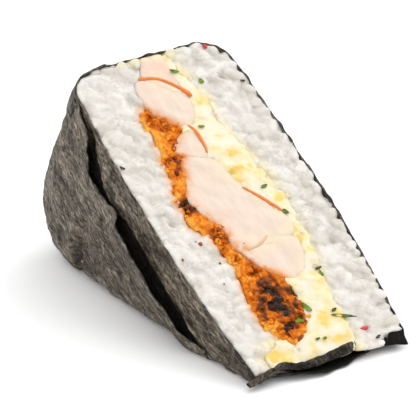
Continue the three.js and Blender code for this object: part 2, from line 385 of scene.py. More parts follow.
# %% [markdown]
# ## Rice
# Cooked short grains are plump, a little curved and blunt at both ends. A knife through a pressed
# rice ball leaves them packed and half flattened, lighter where they bulge and greyer in the small
# hollows between them. Sculpting that as one surface looks like plaster, so single grains will be
# laid and pressed. Their finish comes first: nearly white, letting light in like wet starch, each
# grain with its own tone, and stained where the filling touches it.

# %% The rice finish
rice = Finish(
    "cooked_rice",
    Roughness=0.38,
    Subsurface_Weight=0.7,
    Subsurface_Radius=(1.0, 0.94, 0.86),
    Subsurface_Scale=0.0021,
    Specular_IOR_Level=0.4,
)
grain_tone = rice.attribute("tone")
cloud = rice.noise(scale=0.32)
warmth = rice.math("ADD", rice.math("MULTIPLY", grain_tone, 0.6), rice.math("MULTIPLY", cloud, 0.4))
rice_colour = rice.ramp(
    warmth,
    (0.2, rgb(219, 212, 201)),
    (0.5, rgb(231, 226, 217)),
    (0.8, rgb(241, 237, 230)),
)
fleck_noise = rice.noise(scale=0.75, detail=2.0)
fleck = rice.spread(fleck_noise, 0.66, 0.76, 0.0, 0.55)
rice_colour = rice.mix(fleck, rice_colour, (*rgb(212, 190, 160), 1))
rice_colour = rice.blot(rice_colour, "egg_near", rgb(255, 238, 182), 2.0)
rice_colour = rice.blot(rice_colour, "crumb_near", rgb(242, 170, 104), 1.7)
rice.paint(rice_colour)
rice.bump(rice.noise(scale=0.9), distance=0.1, strength=0.25)
print("nodes in the rice finish:", len(rice.tree.nodes))

# %% [markdown]
# ## Grain shapes
# A cooked short grain is a plump rod about twice as long as it is wide, blunt at both ends and a
# little bent, with a shallow groove along one side. It is a ring of points swept along a line. Six
# shapes are enough, since each grain is turned, tilted and sized at random when it is laid.

# %% Grain shapes
GRAINS = bpy.data.collections.new("grains")
rng = np.random.default_rng(7)


def ball_faces(rings, sides):
    """Faces of a closed ball with its two poles as the last two points."""
    south, north = rings * sides, rings * sides + 1
    faces = []
    for i in range(sides):
        j = (i + 1) % sides
        for start in range(0, (rings - 1) * sides, sides):
            faces.append((start + i, start + j, start + sides + j, start + sides + i))
        faces.append((south, j, i))
        faces.append((north, (rings - 1) * sides + i, (rings - 1) * sides + j))
    return faces


def grain_mesh(name, length, width, height, bend, rings=6, sides=9):
    """A plump grain along X, blunt at both ends, a little bent."""
    t = np.linspace(-1, 1, rings + 2)[1:-1]
    t = np.sin(t * math.pi / 2)
    angles = np.arange(sides) * 2 * math.pi / sides
    points = []
    for u in t:
        fat = (1 - abs(u) ** 2.6) ** 0.5
        for angle in angles:
            groove = 1 - 0.12 * max(0, math.cos(angle - 0.8)) ** 6
            y = 0.5 * width * fat * math.cos(angle) * groove
            z = 0.5 * height * fat * math.sin(angle) * groove
            points.append((0.5 * length * u, y + bend * u * u, z))
    points += [(-0.5 * length, bend, 0), (0.5 * length, bend, 0)]
    mesh = bpy.data.meshes.new(name)
    mesh.from_pydata([tuple(c * MM for c in p) for p in points], [], ball_faces(rings, sides))
    shade_faces(mesh)
    return mesh


GRAIN_LENGTH, GRAIN_WIDTH, GRAIN_HEIGHT = 4.9, 2.6, 2.2
for k in range(6):
    size = 0.85 + 0.25 * rng.random()
    grain = grain_mesh(
        f"grain_{k}", GRAIN_LENGTH * size, GRAIN_WIDTH * size, GRAIN_HEIGHT, rng.uniform(-0.35, 0.35)
    )
    GRAINS.objects.link(bpy.data.objects.new(grain.name, grain))

# %% [markdown]
# ## One scattering tree
# Grains, crumbs and bits of egg are all the same act: many small things strewn on a bed, each
# turned and sized at random. One Geometry Nodes tree does it. Its inputs are the things to strew,
# how far apart they lie, how deep they are sunk and how much they tilt. The tree ends by making the
# instances real and giving them their material.

# %% Build the tree
def scatter_tree(name, material):
    """The tree, and the identifier of each of its inputs by its label."""
    tree = bpy.data.node_groups.new(name, "GeometryNodeTree")
    kinds = dict(
        Bed="Geometry", Pieces="Collection", Spacing="Float", Sink="Float", Tilt="Float",
        Smallest="Float", Largest="Float", Seed="Int",
    )
    sockets = {}
    for label, kind in kinds.items():
        socket = tree.interface.new_socket(label, in_out="INPUT", socket_type="NodeSocket" + kind)
        sockets[label] = socket.identifier
    tree.interface.new_socket("Geometry", in_out="OUTPUT", socket_type="NodeSocketGeometry")

    def add(kind, settings=None, **inputs):
        return add_node(tree, kind, settings, **inputs).outputs

    given = add("NodeGroupInput")
    seed = given["Seed"]
    # Points on the bed, sunk below it along its normals
    strewn = add(
        "GeometryNodeDistributePointsOnFaces", {"distribute_method": "POISSON"},
        Mesh=given["Bed"], Distance_Min=given["Spacing"], Density_Max=4e6, Seed=seed,
    )
    minus = add("ShaderNodeMath", {"operation": "MULTIPLY"}, i0=given["Sink"], i1=-1)
    down = add("ShaderNodeVectorMath", {"operation": "SCALE"}, i0=strewn["Normal"], Scale=minus[0])
    sunk = add("GeometryNodeSetPosition", Geometry=strewn["Points"], Offset=down[0])
    # One of the shapes at each point, of a random size
    pieces = add(
        "GeometryNodeCollectionInfo", Collection=given["Pieces"],
        Separate_Children=True, Reset_Children=True,
    )
    which = add("FunctionNodeRandomValue", {"data_type": "INT"}, i4=0, i5=99, Seed=seed)
    size = add(
        "FunctionNodeRandomValue", {"data_type": "FLOAT"},
        i2=given["Smallest"], i3=given["Largest"], Seed=seed,
    )
    put = add(
        "GeometryNodeInstanceOnPoints", Points=sunk[0], Instance=pieces[0], Pick_Instance=True,
        Instance_Index=which[2], Rotation=strewn["Rotation"], Scale=size[1],
    )
    # A random tilt and turn for each
    limits = add("ShaderNodeCombineXYZ", i0=given["Tilt"], i1=given["Tilt"], i2=math.pi)
    lower = add("ShaderNodeVectorMath", {"operation": "SCALE"}, i0=limits[0], Scale=-1)
    turn = add(
        "FunctionNodeRandomValue", {"data_type": "FLOAT_VECTOR"},
        i0=lower[0], i1=limits[0], Seed=seed,
    )
    kept = add("GeometryNodeRotateInstances", Instances=put[0], Rotation=turn[0])
    # A tone and a number that each of its points will carry
    tone = add("FunctionNodeRandomValue", {"data_type": "FLOAT"}, Seed=5)
    number = add("GeometryNodeInputIndex")
    for label, value in (("tone", tone[1]), ("number", number[0])):
        kept = add(
            "GeometryNodeStoreNamedAttribute", {"data_type": "FLOAT", "domain": "INSTANCE"},
            Geometry=kept[0], Name=label, Value=value,
        )
    # Real geometry, dressed in its material
    real = add("GeometryNodeRealizeInstances", i0=kept[0])
    dress = add("GeometryNodeSetMaterial", Geometry=real[0], Material=material)
    add("NodeGroupOutput", i0=dress[0])
    return tree, sockets


# %% [markdown]
# ## Strewing in one call
# The tree is put on a bed as a modifier, its result is kept as a plain object, and the modifier
# is taken off again. The strewn points can then be pressed and pushed with numpy, which says more
# plainly than nodes would what the mould and the knife did.

# %% Use the tree
def strew(name, bed, tree_and_sockets, pieces, **values):
    """Runs the scattering on a bed and gives back the result as a plain object."""
    tree, sockets = tree_and_sockets
    modifier = bed.modifiers.new("strew", "NODES")
    modifier.node_group = tree
    modifier[sockets["Pieces"]] = pieces
    for label, value in values.items():
        modifier[sockets[label]] = value
    evaluated = bed.evaluated_get(bpy.context.evaluated_depsgraph_get())
    mesh = bpy.data.meshes.new_from_object(evaluated)
    bed.modifiers.remove(modifier)
    mesh.name = name
    return add_object(name, mesh)


rice_tree = scatter_tree("strew_rice", rice.material)
print("inputs of the tree:", list(rice_tree[1]))

# %% [markdown]
# ## Beds for the grains
# The bed is the rice's own surface at the cut, taken from the CAD solid, so the grains stop where
# the filling starts. Along the base edge and the far edge the rice also swells out past the nori,
# so a narrow strip there leans outwards and gives those edges their bumpy outline.

# %% Take the beds from the frame
NEAR_THE_CUT = 1.2


def top_of(node, name):
    """The triangles of a CAD node that lie at the cut, as an object of their own."""
    source = frame["nodes"][node]
    cut = points_of(source)
    keep = []
    for polygon in source.data.polygons:
        corners = cut[list(polygon.vertices)]
        rise = np.abs(corners[:, 1] - cut_level(corners[:, 0], corners[:, 2])).max()
        normal = np.cross(corners[1] - corners[0], corners[2] - corners[0])
        if rise < NEAR_THE_CUT and normal[1] < -0.6 * np.linalg.norm(normal):
            keep.append(list(polygon.vertices))
    return mesh_object(name, cut, keep)


def nearness(obj, bed, reach):
    """1 where the object meets the bed, falling to 0 reach millimetres away from it."""
    corners = [v.co[:] for v in bed.data.vertices]
    tree = BVHTree.FromPolygons(corners, [p.vertices[:] for p in bed.data.polygons])
    far = reach * MM
    found = [tree.find_nearest(v.co, far)[3] for v in obj.data.vertices]
    distance = np.array([far if d is None else d for d in found]) / far
    return (1 - distance) ** 2


def stain(obj, smeared):
    """Marks how near the egg and the crumb are, and how much egg is smeared at the base edge."""
    p = points_of(obj)
    smear = 1 - smoothstep(p[:, 0] + 0.5 * lattice(p * [0.8, 0, 0.8], 5), 0.9, 2.6)
    smear *= smoothstep(p[:, 2], -8.0, -5.5) * (1 - smoothstep(p[:, 2], 2.0, 4.0))
    near_egg = nearness(obj, egg_bed, reach=4.5)
    set_attribute(obj, "egg_near", np.maximum(near_egg, smeared * smear))
    set_attribute(obj, "crumb_near", nearness(obj, crumb_bed, reach=2.4))


def edge_limit(a, d, inset):
    """How far across the half reaches, inset millimetres inside its skin."""
    h = half_thickness(a, d)
    short_of = np.clip(BASE_EDGE - a, 0, None)
    rounding = np.sqrt(np.clip((BASE_EDGE - inset) ** 2 - short_of**2, 0, None))
    return np.where(a < BASE_EDGE, h - BASE_EDGE + rounding, h - inset)


def far_rim(out, down):
    """The strip along the base edge, the far edge and the far tip, leaning outwards."""
    pairs = []
    for c in np.linspace(-13, 12, 14):
        level = cut_level(0, c)
        pairs.append(((1.6, level + 0.2, c), (1.2 - out, level + down, c)))
    for a in np.linspace(0.5, 79.5, 40):
        side = float(edge_limit(np.array(a), 0, 1.6))
        level = cut_level(a, side)
        pairs.append(((a + 0.4, level + 0.2, side), (a, level + down, side + 0.4 + out)))
    for c in np.linspace(15, 7, 5):
        pairs.append(((79.8, 0.3, c), (HEIGHT + out, 0.9, c)))
    points = [point for pair in pairs for point in pair]
    faces = [(2 * i, 2 * i + 1, 2 * i + 3, 2 * i + 2) for i in range(len(pairs) - 1)]
    return mesh_object("far_rim", points, faces)


egg_bed = top_of("egg_salad", "egg_bed")
crumb_bed = top_of("crumb_coat", "crumb_bed")
thin_bed = top_of("rice_thin_side", "thin_bed")
thick_bed = top_of("rice_thick_side", "thick_bed")
rim_bed = far_rim(out=0.5, down=1.4)
print("bed faces:", len(thin_bed.data.polygons), len(thick_bed.data.polygons))

# %% [markdown]
# ## Laying and pressing the grains
# Hands and mould press the grains flat and the knife drags over them, so on the real half they all
# end close to one plane, with thin dark seams between them. Two layers are strewn. What stands
# above the knife's plane is then eased down to it, each grain to a slightly different height, and
# what reaches past the nori at the sides is pushed back inside.

# %% Lay and press the grains
RICE_SWELL = 0.13


def press(obj, ease, seed, uneven=0.06):
    """Presses grains down to the knife's plane and keeps them inside the nori."""
    # Down to the cut, each grain to its own height
    p = points_of(obj)
    number = read_attribute(obj, "number").astype(int)
    random = np.random.default_rng(seed).uniform(-1, 1, number.max() + 2)[number]
    swell = RICE_SWELL * fractal(p * [1, 0, 1], 7.0, 2, 77)
    level = cut_level(p[:, 0], p[:, 2]) - 0.05 - uneven * random - swell
    above = np.clip(level - p[:, 1], 0, None)
    p[:, 1] = np.where(above > 0, level - ease * np.tanh(above / ease), p[:, 1])
    # In from both broad faces, more so the deeper a point lies
    deep = smoothstep(p[:, 1] - cut_level(p[:, 0], p[:, 2]), 0.2, 2.0)
    near_inset = 0.5 + 0.35 * deep
    far_inset = 0.2 - 0.15 * smoothstep(p[:, 0], 60, 66) + 0.9 * deep
    limit = edge_limit(p[:, 0], 0, np.where(p[:, 2] < 0, near_inset, far_inset))
    over = np.abs(p[:, 2]) - limit
    p[:, 2] -= np.sign(p[:, 2]) * np.clip(over, 0, None) * 0.9
    # In from the base, and back from the apex, where the far tip bulges and then turns in
    base = 0.9 * deep
    p[:, 0] += np.clip(base - p[:, 0], 0, None) * 0.9
    tip = 80.2 + 1.1 * smoothstep(p[:, 2], 4, 9) - 2.4 * smoothstep(p[:, 2], 12.0, 13.0) - 1.2 * deep
    p[:, 0] -= np.clip(p[:, 0] - tip, 0, None) * 0.92
    move_points(obj, p)
    return obj


def join(name, objects):
    """Joins plain mesh objects into one."""
    merged = bmesh.new()
    for obj in objects:
        merged.from_mesh(obj.data)
    mesh = bpy.data.meshes.new(name)
    merged.to_mesh(mesh)
    merged.free()
    for slot_material in objects[0].data.materials:
        mesh.materials.append(slot_material)
    for obj in objects:
        bpy.data.objects.remove(obj)
    return add_object(name, mesh)


LAYERS = [
    dict(spacing=1.9, sink=1.0, tilt=0.26, ease=0.18),
    dict(spacing=2.6, sink=0.8, tilt=0.22, ease=0.24),
]
RIM_LAYER = dict(spacing=1.9, sink=0.2, tilt=1.2, ease=0.5)


def lay_grains(bed, seed, press_seed, largest, spacing, sink, tilt, ease):
    """One layer of grains on a bed, pressed."""
    layer = strew(
        "grain_layer", bed, rice_tree, GRAINS, Spacing=spacing * MM, Sink=sink * MM, Tilt=tilt,
        Smallest=0.8, Largest=largest, Seed=seed,
    )
    return press(layer, ease, press_seed)


def lay_rice(name, bed, seed, strips=()):
    """Two layers of grains on a bed, and one on each strip of the rim, as one object."""
    layers = [lay_grains(bed, seed + k, seed + k, 1.12, **LAYERS[k]) for k in range(len(LAYERS))]
    layers += [lay_grains(strip, seed + 9, seed + 3, 1.0, **RIM_LAYER) for strip in strips]
    return join(name, layers)


thin_grains = lay_rice("rice_grains_thin", thin_bed, 11)
thick_grains = lay_rice("rice_grains_thick", thick_bed, 31, [rim_bed])
print("points in the grains:", len(thin_grains.data.vertices), len(thick_grains.data.vertices))

# %% [markdown]
# ## Slabs and cores
# Only the top few millimetres of the half are worth fine detail. So each solid of the CAD model
# gives two things: a slab just under the cut, remeshed finely so that its edges can round off and
# its top can be uneven, and a copy of the whole solid with its top sunk, which stays below as the
# core. The slabs are made a little larger than their solids, so that soft foods lap over each
# other and no groove opens between them.

# %% Slabs and cores from the frame
SLAB_DEPTH = 6.0
CORE_DROP = 1.6


def copy_of(node, name):
    return add_object(name, frame["nodes"][node].data.copy())


def core_of(node, name, material):
    """A copy of a CAD node whose top is lowered, to lie under finer things."""
    obj = copy_of(node, name)
    weld(obj, 1e-6, face_out=False)
    p = points_of(obj)
    depth = p[:, 1] - cut_level(p[:, 0], p[:, 2])
    p[:, 1] += CORE_DROP * (1 - smoothstep(depth, 0.6, 4.0))
    move_points(obj, p)
    obj.data.materials.clear()
    obj.data.materials.append(material)
    return obj


def slab_of(node, name):
    """The part of a CAD node within a few millimetres of the cut, closed below."""
    obj = copy_of(node, name)
    cutter = bmesh.new()
    cutter.from_mesh(obj.data)
    bmesh.ops.remove_doubles(cutter, verts=cutter.verts, dist=1e-6)
    origin, tip = place([[0, SLAB_DEPTH, 0], [0, SLAB_DEPTH + 1, 0]])
    everything = cutter.verts[:] + cutter.edges[:] + cutter.faces[:]
    cut = bmesh.ops.bisect_plane(
        cutter,
        geom=everything,
        plane_co=Vector(origin),
        plane_no=Vector(tip - origin),
        clear_outer=True,
    )
    open_edges = [e for e in cut["geom_cut"] if isinstance(e, bmesh.types.BMEdge)]
    bmesh.ops.edgeloop_fill(cutter, edges=open_edges)
    bmesh.ops.recalc_face_normals(cutter, faces=cutter.faces)
    cutter.to_mesh(obj.data)
    cutter.free()
    return obj


def soft_remesh(obj, voxel, swell, rounds):
    """Turns whatever shells the object has into one fine, soft-edged skin."""
    remesh = obj.modifiers.new("fine", "REMESH")
    remesh.mode, remesh.voxel_size = "VOXEL", voxel * MM
    soften = obj.modifiers.new("soften", "SMOOTH")
    soften.factor, soften.iterations = 0.5, rounds
    grow = obj.modifiers.new("grow", "DISPLACE")
    grow.strength, grow.mid_level = swell * MM, 0.0
    evaluated = obj.evaluated_get(bpy.context.evaluated_depsgraph_get())
    mesh = bpy.data.meshes.new_from_object(evaluated)
    obj.modifiers.clear()
    obj.data = mesh
    mesh.materials.clear()
    shade_faces(mesh)
    return obj


def slab(node, name, voxel, swell, rounds):
    """A slab that is a little larger than its node, so that it laps over its neighbours."""
    obj = slab_of(node, name)
    co, normals = np.zeros((2, len(obj.data.vertices) * 3))
    obj.data.vertices.foreach_get("co", co)
    obj.data.vertices.foreach_get("normal", normals)
    obj.data.vertices.foreach_set("co", co + normals * swell * MM)
    obj.data.update()
    return soft_remesh(obj, voxel, 0.0, rounds)


def near_cut(p, reach=2.5):
    """1 at the cut, fading to 0 reach millimetres below it."""
    return 1 - smoothstep(p[:, 1] - cut_level(p[:, 0], p[:, 2]), 0.3, reach)


def roughen(obj, amount, size, seed, lift=0.0):
    """Moves the top of a slab up and down by noise."""
    p = points_of(obj)
    flat = p * [1, 0.6, 1]
    p[:, 1] -= near_cut(p) * (lift + amount * fractal(flat, size, 3, seed))
    move_points(obj, p)


def nearest_values(source_points, values, points):
    """For each point, the value of the source point nearest to it."""
    tree = KDTree(len(source_points))
    for i, co in enumerate(source_points.tolist()):
        tree.insert(co, i)
    tree.balance()
    return np.array([values[tree.find(co)[1]] for co in points.tolist()])


print("slabs are", SLAB_DEPTH, "mm deep, cores lie", CORE_DROP, "mm under the cut")

# %% [markdown]
# ## One skin of rice
# Cooked grains stick together, and crushed rice fills the gaps between them. So the strewn grains
# and their slab are run together by a fine voxel remesh, which leaves the grains as soft bumps in
# one closed skin. The rice sinks a little along a ragged line where the filling laps over it, and
# in a few places it has a small hole between grains.

# %% Run the grains together
FILLING_FAR = [
    (-6, 4.6), (3, 4.9), (8, 5.4), (14, 7.2), (20, 7.4), (30, 8.4), (37, 9.3), (44, 9.8), (52, 9.4),
    (57, 8.8), (62, 8.2), (68, 7.4), (73, 6.6), (80, 5.6),
]
FILLING_NEAR = [
    (-6, 0.4), (1, -0.4), (5, -3.0), (7, -4.3), (12, -5.6), (16, -8.0), (22, -8.2), (26, -9.0),
    (31, -9.8), (37, -11.2), (43, -11.2), (46, -9.4), (55, -7.9), (62, -9.2), (67, -9.9),
    (71, -9.0), (75, -7.6), (76.5, -12.4), (80, -12.8),
]
VOIDS = [(54.5, 15.5, 1.1), (72.0, 16.6, 0.9), (41.0, -15.0, 0.8), (9.5, 14.0, 0.8)]


def recede(obj, edge, way):
    """Lowers the rice where it would cover the filling, along a ragged line."""
    p = points_of(obj)
    ragged = 1.1 * fractal(p * [1, 0, 1], 3.0, 3, 160)
    past = way * (p[:, 2] - along_curve(edge, p[:, 0])) + ragged
    p[:, 1] += 0.6 * smoothstep(past, -0.6, 0.9) * near_cut(p, 3.5)
    for hole in VOIDS:
        p[:, 1] += 1.3 * spot(p[:, 0], p[:, 2], *hole) * near_cut(p, 3.5)
    move_points(obj, p)


for side, grains in (("thin", thin_grains), ("thick", thick_grains)):
    node = f"rice_{side}_side"
    grain_points, grain_tones = points_of(grains), read_attribute(grains, "tone")
    bottom = slab_of(node, f"bottom_{side}")
    p = points_of(bottom)
    p[:, 1] += 0.2 * near_cut(p, 2.0)
    move_points(bottom, p)
    mass = soft_remesh(join(f"mass_{side}", [grains, bottom]), voxel=0.27, swell=0.04, rounds=1)
    roughen(mass, amount=0.05, size=2.4, seed=140)
    recede(mass, *((FILLING_NEAR, 1) if side == "thin" else (FILLING_FAR, -1)))
    set_attribute(mass, "tone", nearest_values(grain_points, grain_tones, points_of(mass)))
    stain(mass, smeared=0.4)
    mass.data.materials.append(rice.material)
    core = core_of(node, f"core_{side}", rice.material)
    set_attribute(core, "tone", 0.5)
    finish_piece(join(f"rice_{side}", [mass, core]), "rice", node)

# %% [markdown]
# ## The look of the meat
# The filling's meat is pale and cooked, cut straight through: faintly fibrous, pinker in one
# corner, and stained where the egg and the sauce touch it. The fibres are noise drawn out along
# the cut, and the stains follow the two attributes that say how near those neighbours are.

# %% The meat finish
meat = Finish(
    "pale_meat",
    Roughness=0.45,
    Subsurface_Weight=0.35,
    Subsurface_Radius=(1.0, 0.62, 0.45),
    Subsurface_Scale=0.0016,
    Specular_IOR_Level=0.3,
)
along_cut = meat.coordinates((260, 700, 260))
fibre = meat.noise(detail=4.0, roughness=0.6, vector=along_cut)
blush = meat.attribute("blush")
pale = meat.ramp(fibre, (0.3, rgb(238, 214, 195)), (0.7, rgb(246, 227, 211)))
pink = meat.ramp(fibre, (0.3, rgb(241, 204, 182)), (0.7, rgb(247, 218, 199)))
meat_colour = meat.blot(meat.mix(blush, pale, pink), "egg_near", rgb(255, 236, 190), 0.7)
meat_colour = meat.blot(meat_colour, "crumb_near", rgb(240, 156, 84), 1.6)
meat.paint(meat_colour)
meat.bump(fibre, distance=0.12, strength=0.5)
print("nodes in the meat finish:", len(meat.tree.nodes))

# %% [markdown]
# ## Meat
# Five chunks lie in the filling. One loop makes them all, since they differ only in their CAD
# solids. Each slab is made nearly smooth, with a broad swell and a slight grain, and the tops of
# three of them lean over their neighbours, as soft meat does when it is pressed together.

# %% Five chunks of meat
MEATS = ["meat_top", "meat_upper", "meat_small", "meat_main", "meat_end"]
LEANING = {
    "meat_top": dict(start=2, end=6, along=1.2, down=0.0),
    "meat_main": dict(start=46, end=50, along=1.0, down=0.0),
    "meat_end": dict(start=57, end=52, along=-3.4, down=0.08),
}


def lean(obj, start, end, along, down):
    """Pushes the end of a chunk's top over its neighbour."""
    p = points_of(obj)
    share = smoothstep(p[:, 0], start, end) * near_cut(p, 4)
    move_points(obj, p + share[:, None] * [along, down, 0])


for k, node in enumerate(MEATS):
    chunk = slab(node, node + "_slab", voxel=0.42, swell=0.7, rounds=2)
    roughen(chunk, amount=0.18, size=8.0, seed=40 + k, lift=-0.15)
    roughen(chunk, amount=0.07, size=1.6, seed=60 + k)
    if node in LEANING:
        lean(chunk, **LEANING[node])
    p = points_of(chunk)
    pinkness = np.exp(-(((p[:, 0] - 4.5) / 4.5) ** 2 + ((p[:, 2] - 2) / 3.5) ** 2))
    pinkness += 0.35 * np.clip(fractal(p, 6.0, 2, 90), 0, 1)
    set_attribute(chunk, "blush", np.clip(pinkness, 0, 1))
    stain(chunk, smeared=2.5)
    chunk.data.materials.append(meat.material)
    core = core_of(node, node + "_core", meat.material)
    set_attribute(core, "blush", 0.0)
    finish_piece(join(node + "_piece", [chunk, core]), "meat", node)

# %% [markdown]
# ## The look of egg salad
# Chopped egg in mayonnaise is a pale cream with lumps of white and crumbs of yolk. One tone at each
# point says how much yolk is there, and noise breaks it up before the ramp turns it into colour.

# %% The egg finish
egg = Finish(
    "egg_salad",
    Roughness=0.42,
    Subsurface_Weight=0.4,
    Subsurface_Radius=(1.0, 0.8, 0.45),
    Subsurface_Scale=0.0016,
    Specular_IOR_Level=0.3,
)
yolk_noise = egg.noise(scale=0.3)
yolk = egg.math("ADD", egg.attribute("tone"), egg.spread(yolk_noise, 0.35, 0.68, -0.3, 0.4))
egg_colour = egg.ramp(
    yolk,
    (0.15, rgb(255, 243, 218)),
    (0.45, rgb(255, 237, 190)),
    (0.85, rgb(255, 217, 112)),
)
egg.paint(egg_colour)
egg.bump(egg.noise(scale=1.4, detail=4.0), distance=0.15, strength=0.6)
print("nodes in the egg finish:", len(egg.tree.nodes))

# %% [markdown]
# ## Small lumps
# Bits of egg, breadcrumbs and drops of sauce are all small uneven lumps. Each is a ball whose
# points are moved in and out by noise: gently for soft bits, strongly and with flat faces for
# crumbs. A few shapes of each kind are kept for the tree to strew.

# %% Lumps to strew
def scatter_pieces(obj, amount, seed):
    """Moves each strewn piece a little sideways, so that the edge of what is strewn is ragged."""
    p = points_of(obj)
    number = read_attribute(obj, "number").astype(int)
    shift = np.random.default_rng(seed).normal(0, amount, (number.max() + 1, 2))
    p[:, [0, 2]] += np.clip(shift, -2.2 * amount, 2.2 * amount)[number]
    move_points(obj, p)


def lump_mesh(name, size, jag, seed, smooth=True):
    """A small closed lump from a ball whose points are moved in and out."""
    ball = bmesh.new()
    bmesh.ops.create_icosphere(ball, subdivisions=2, radius=1.0)
    co = np.array([v.co[:] for v in ball.verts])
    stretch = np.random.default_rng(seed).uniform(0.6, 1.2, 3)
    radius = 1 + jag * fractal(co + seed * 3.1, 0.9, 2, seed)
    for vert, r, c in zip(ball.verts, radius, co):
        vert.co = c * r * stretch * size * 0.5 * MM
    mesh = bpy.data.meshes.new(name)
    ball.to_mesh(mesh)
    ball.free()
    shade_faces(mesh, smooth)
    return mesh


def lumps(name, count, size, jag, seed, smooth=True):
    """A collection of lumps that differ only in their seeds."""
    shapes = bpy.data.collections.new(name)
    for k in range(count):
        mesh = lump_mesh(f"{name}_{k}", size, jag, seed + k, smooth)
        shapes.objects.link(bpy.data.objects.new(mesh.name, mesh))
    return shapes


egg_shapes = lumps("egg_lump", count=8, size=2.1, jag=1.3, seed=300)
crumb_shapes = lumps("crumb_lump", count=8, size=1.1, jag=1.7, seed=500, smooth=False)

# %% [markdown]
# ## Egg salad
# The slab carries the broad lumps, and small bits are strewn over it. Patches of yolk lie where
# they do in the real filling. Along the far edge the egg runs a little over the rice, and it sinks
# where the two largest chunks of meat meet.

# %% Egg
YOLK_SPOTS = [
    (33.0, 3.0, 1.3), (33.4, 6.4, 1.5), (34.0, 8.6, 1.1), (29.0, 5.0, 1.2), (50.2, 7.9, 1.0),
    (52.0, 7.6, 1.0), (60.4, 3.8, 1.1), (61.6, 5.6, 1.0), (78.2, -9.4, 1.5), (77.6, -11.6, 1.3),
    (24.0, 4.4, 0.9), (15.0, 4.6, 0.9), (42.0, 8.8, 0.9), (70.0, 3.4, 1.0),
]


def yolk_tone(p, low, high):
    """How yellow the egg is at each point: patches of yolk in a paler cream."""
    spots = sum(spot(p[:, 0], p[:, 2], *yolk_spot) for yolk_spot in YOLK_SPOTS)
    flecks = np.clip(fractal(p * [1, 0.6, 1], 2.4, 3, 170) * 2 - 0.5, 0, 1)
    broken = 0.6 + 0.9 * fractal(p, 0.9, 2, 171)
    return low + (high - low) * np.clip(1.2 * spots * broken + 0.6 * flecks, 0, 1)


def spread_edge(obj):
    """Lets the egg run a little over the rice along its far edge."""
    p = points_of(obj)
    at_edge = smoothstep(p[:, 2] - along_curve(FILLING_FAR, p[:, 0]), -4.0, -0.5) * near_cut(p, 3.5)
    run = 0.4 + 1.0 * smoothstep(p[:, 0], 54, 59) * (1 - smoothstep(p[:, 0], 73, 78))
    run = run + 1.1 * fractal(p * [1, 0, 1], 3.4, 3, 172)
    p[:, 2] += at_edge * np.clip(run, -0.4, 2.2)
    loose = near_cut(p, 3.5) * 0.7
    p[:, 0] += loose * fractal(p * [1, 0, 1], 2.2, 3, 173)
    p[:, 2] += loose * fractal(p * [1, 0, 1], 2.2, 3, 174)
    move_points(obj, p)


def sink_seam(obj):
    """Lowers the egg where the two largest pieces of meat meet."""
    p = points_of(obj)
    there = smoothstep(p[:, 0], 48.5, 49.8) * (1 - smoothstep(p[:, 0], 53.5, 55))
    there *= (p[:, 2] > -7) & (p[:, 2] < 7.2)
    p[:, 1] += 1.3 * there * near_cut(p)
    move_points(obj, p)


egg_slab = slab("egg_salad", "egg_slab", voxel=0.42, swell=1.0, rounds=2)
roughen(egg_slab, amount=0.4, size=3.0, seed=70, lift=-0.35)
roughen(egg_slab, amount=0.18, size=1.2, seed=71)
set_attribute(egg_slab, "tone", yolk_tone(points_of(egg_slab), low=0.3, high=0.95))
egg_slab.data.materials.append(egg.material)
egg_tree = scatter_tree("strew_egg", egg.material)
egg_bits = strew(
    "egg_bits", egg_bed, egg_tree, egg_shapes,
    Spacing=1.15 * MM, Sink=0.45 * MM, Tilt=2.5, Smallest=0.35, Largest=0.9, Seed=4,
)
scatter_pieces(egg_bits, amount=0.6, seed=9)
press(egg_bits, ease=0.3, seed=8, uneven=0.12)
own_tone = 0.25 * read_attribute(egg_bits, "tone") ** 2
set_attribute(egg_bits, "tone", yolk_tone(points_of(egg_bits), low=0.2, high=0.95) + own_tone)
for soft_egg in (egg_slab, egg_bits):
    spread_edge(soft_egg)
    sink_seam(soft_egg)
egg_core = core_of("egg_salad", "egg_core", egg.material)
set_attribute(egg_core, "tone", 0.3)
finish_piece(join("egg_salad_piece", [egg_slab, egg_bits, egg_core]), "egg", "egg_salad")

# %% [markdown]
# ## The look of the crumb
# Fried breadcrumb soaked with sauce is orange at its edges, brown where it is thick and nearly
# black in a few burnt places. How dark it is belongs to the place, so it is worked out point by
# point and kept in an attribute that the material reads. Burnt crumb is glossier too.

# %% The crumb finish
DARK_SPOTS = [
    (65, -3.6, 5.2, 1.1), (38, -10.0, 2.2, 0.8), (30, -8.2, 1.8, 0.65), (23.5, -5.2, 2.2, 0.35),
    (27, -6.5, 2.0, 0.4), (33.5, -9.0, 1.8, 0.35), (46, -7.5, 1.8, 0.35), (71.8, -5.0, 2.1, 1.35),
]


def char(p):
    """How burnt the crumb is at each point, 0 to 1."""
    burnt = np.zeros(len(p))
    for *burnt_spot, amount in DARK_SPOTS:
        burnt = np.maximum(burnt, amount * spot(p[:, 0], p[:, 2], *burnt_spot))
    speckle = fractal(p, 2.2, 3, seed=5) + 1.1 * burnt * fractal(p, 1.0, 2, seed=8)
    return np.clip(0.14 + 0.72 * burnt + 0.6 * speckle, 0, 1)


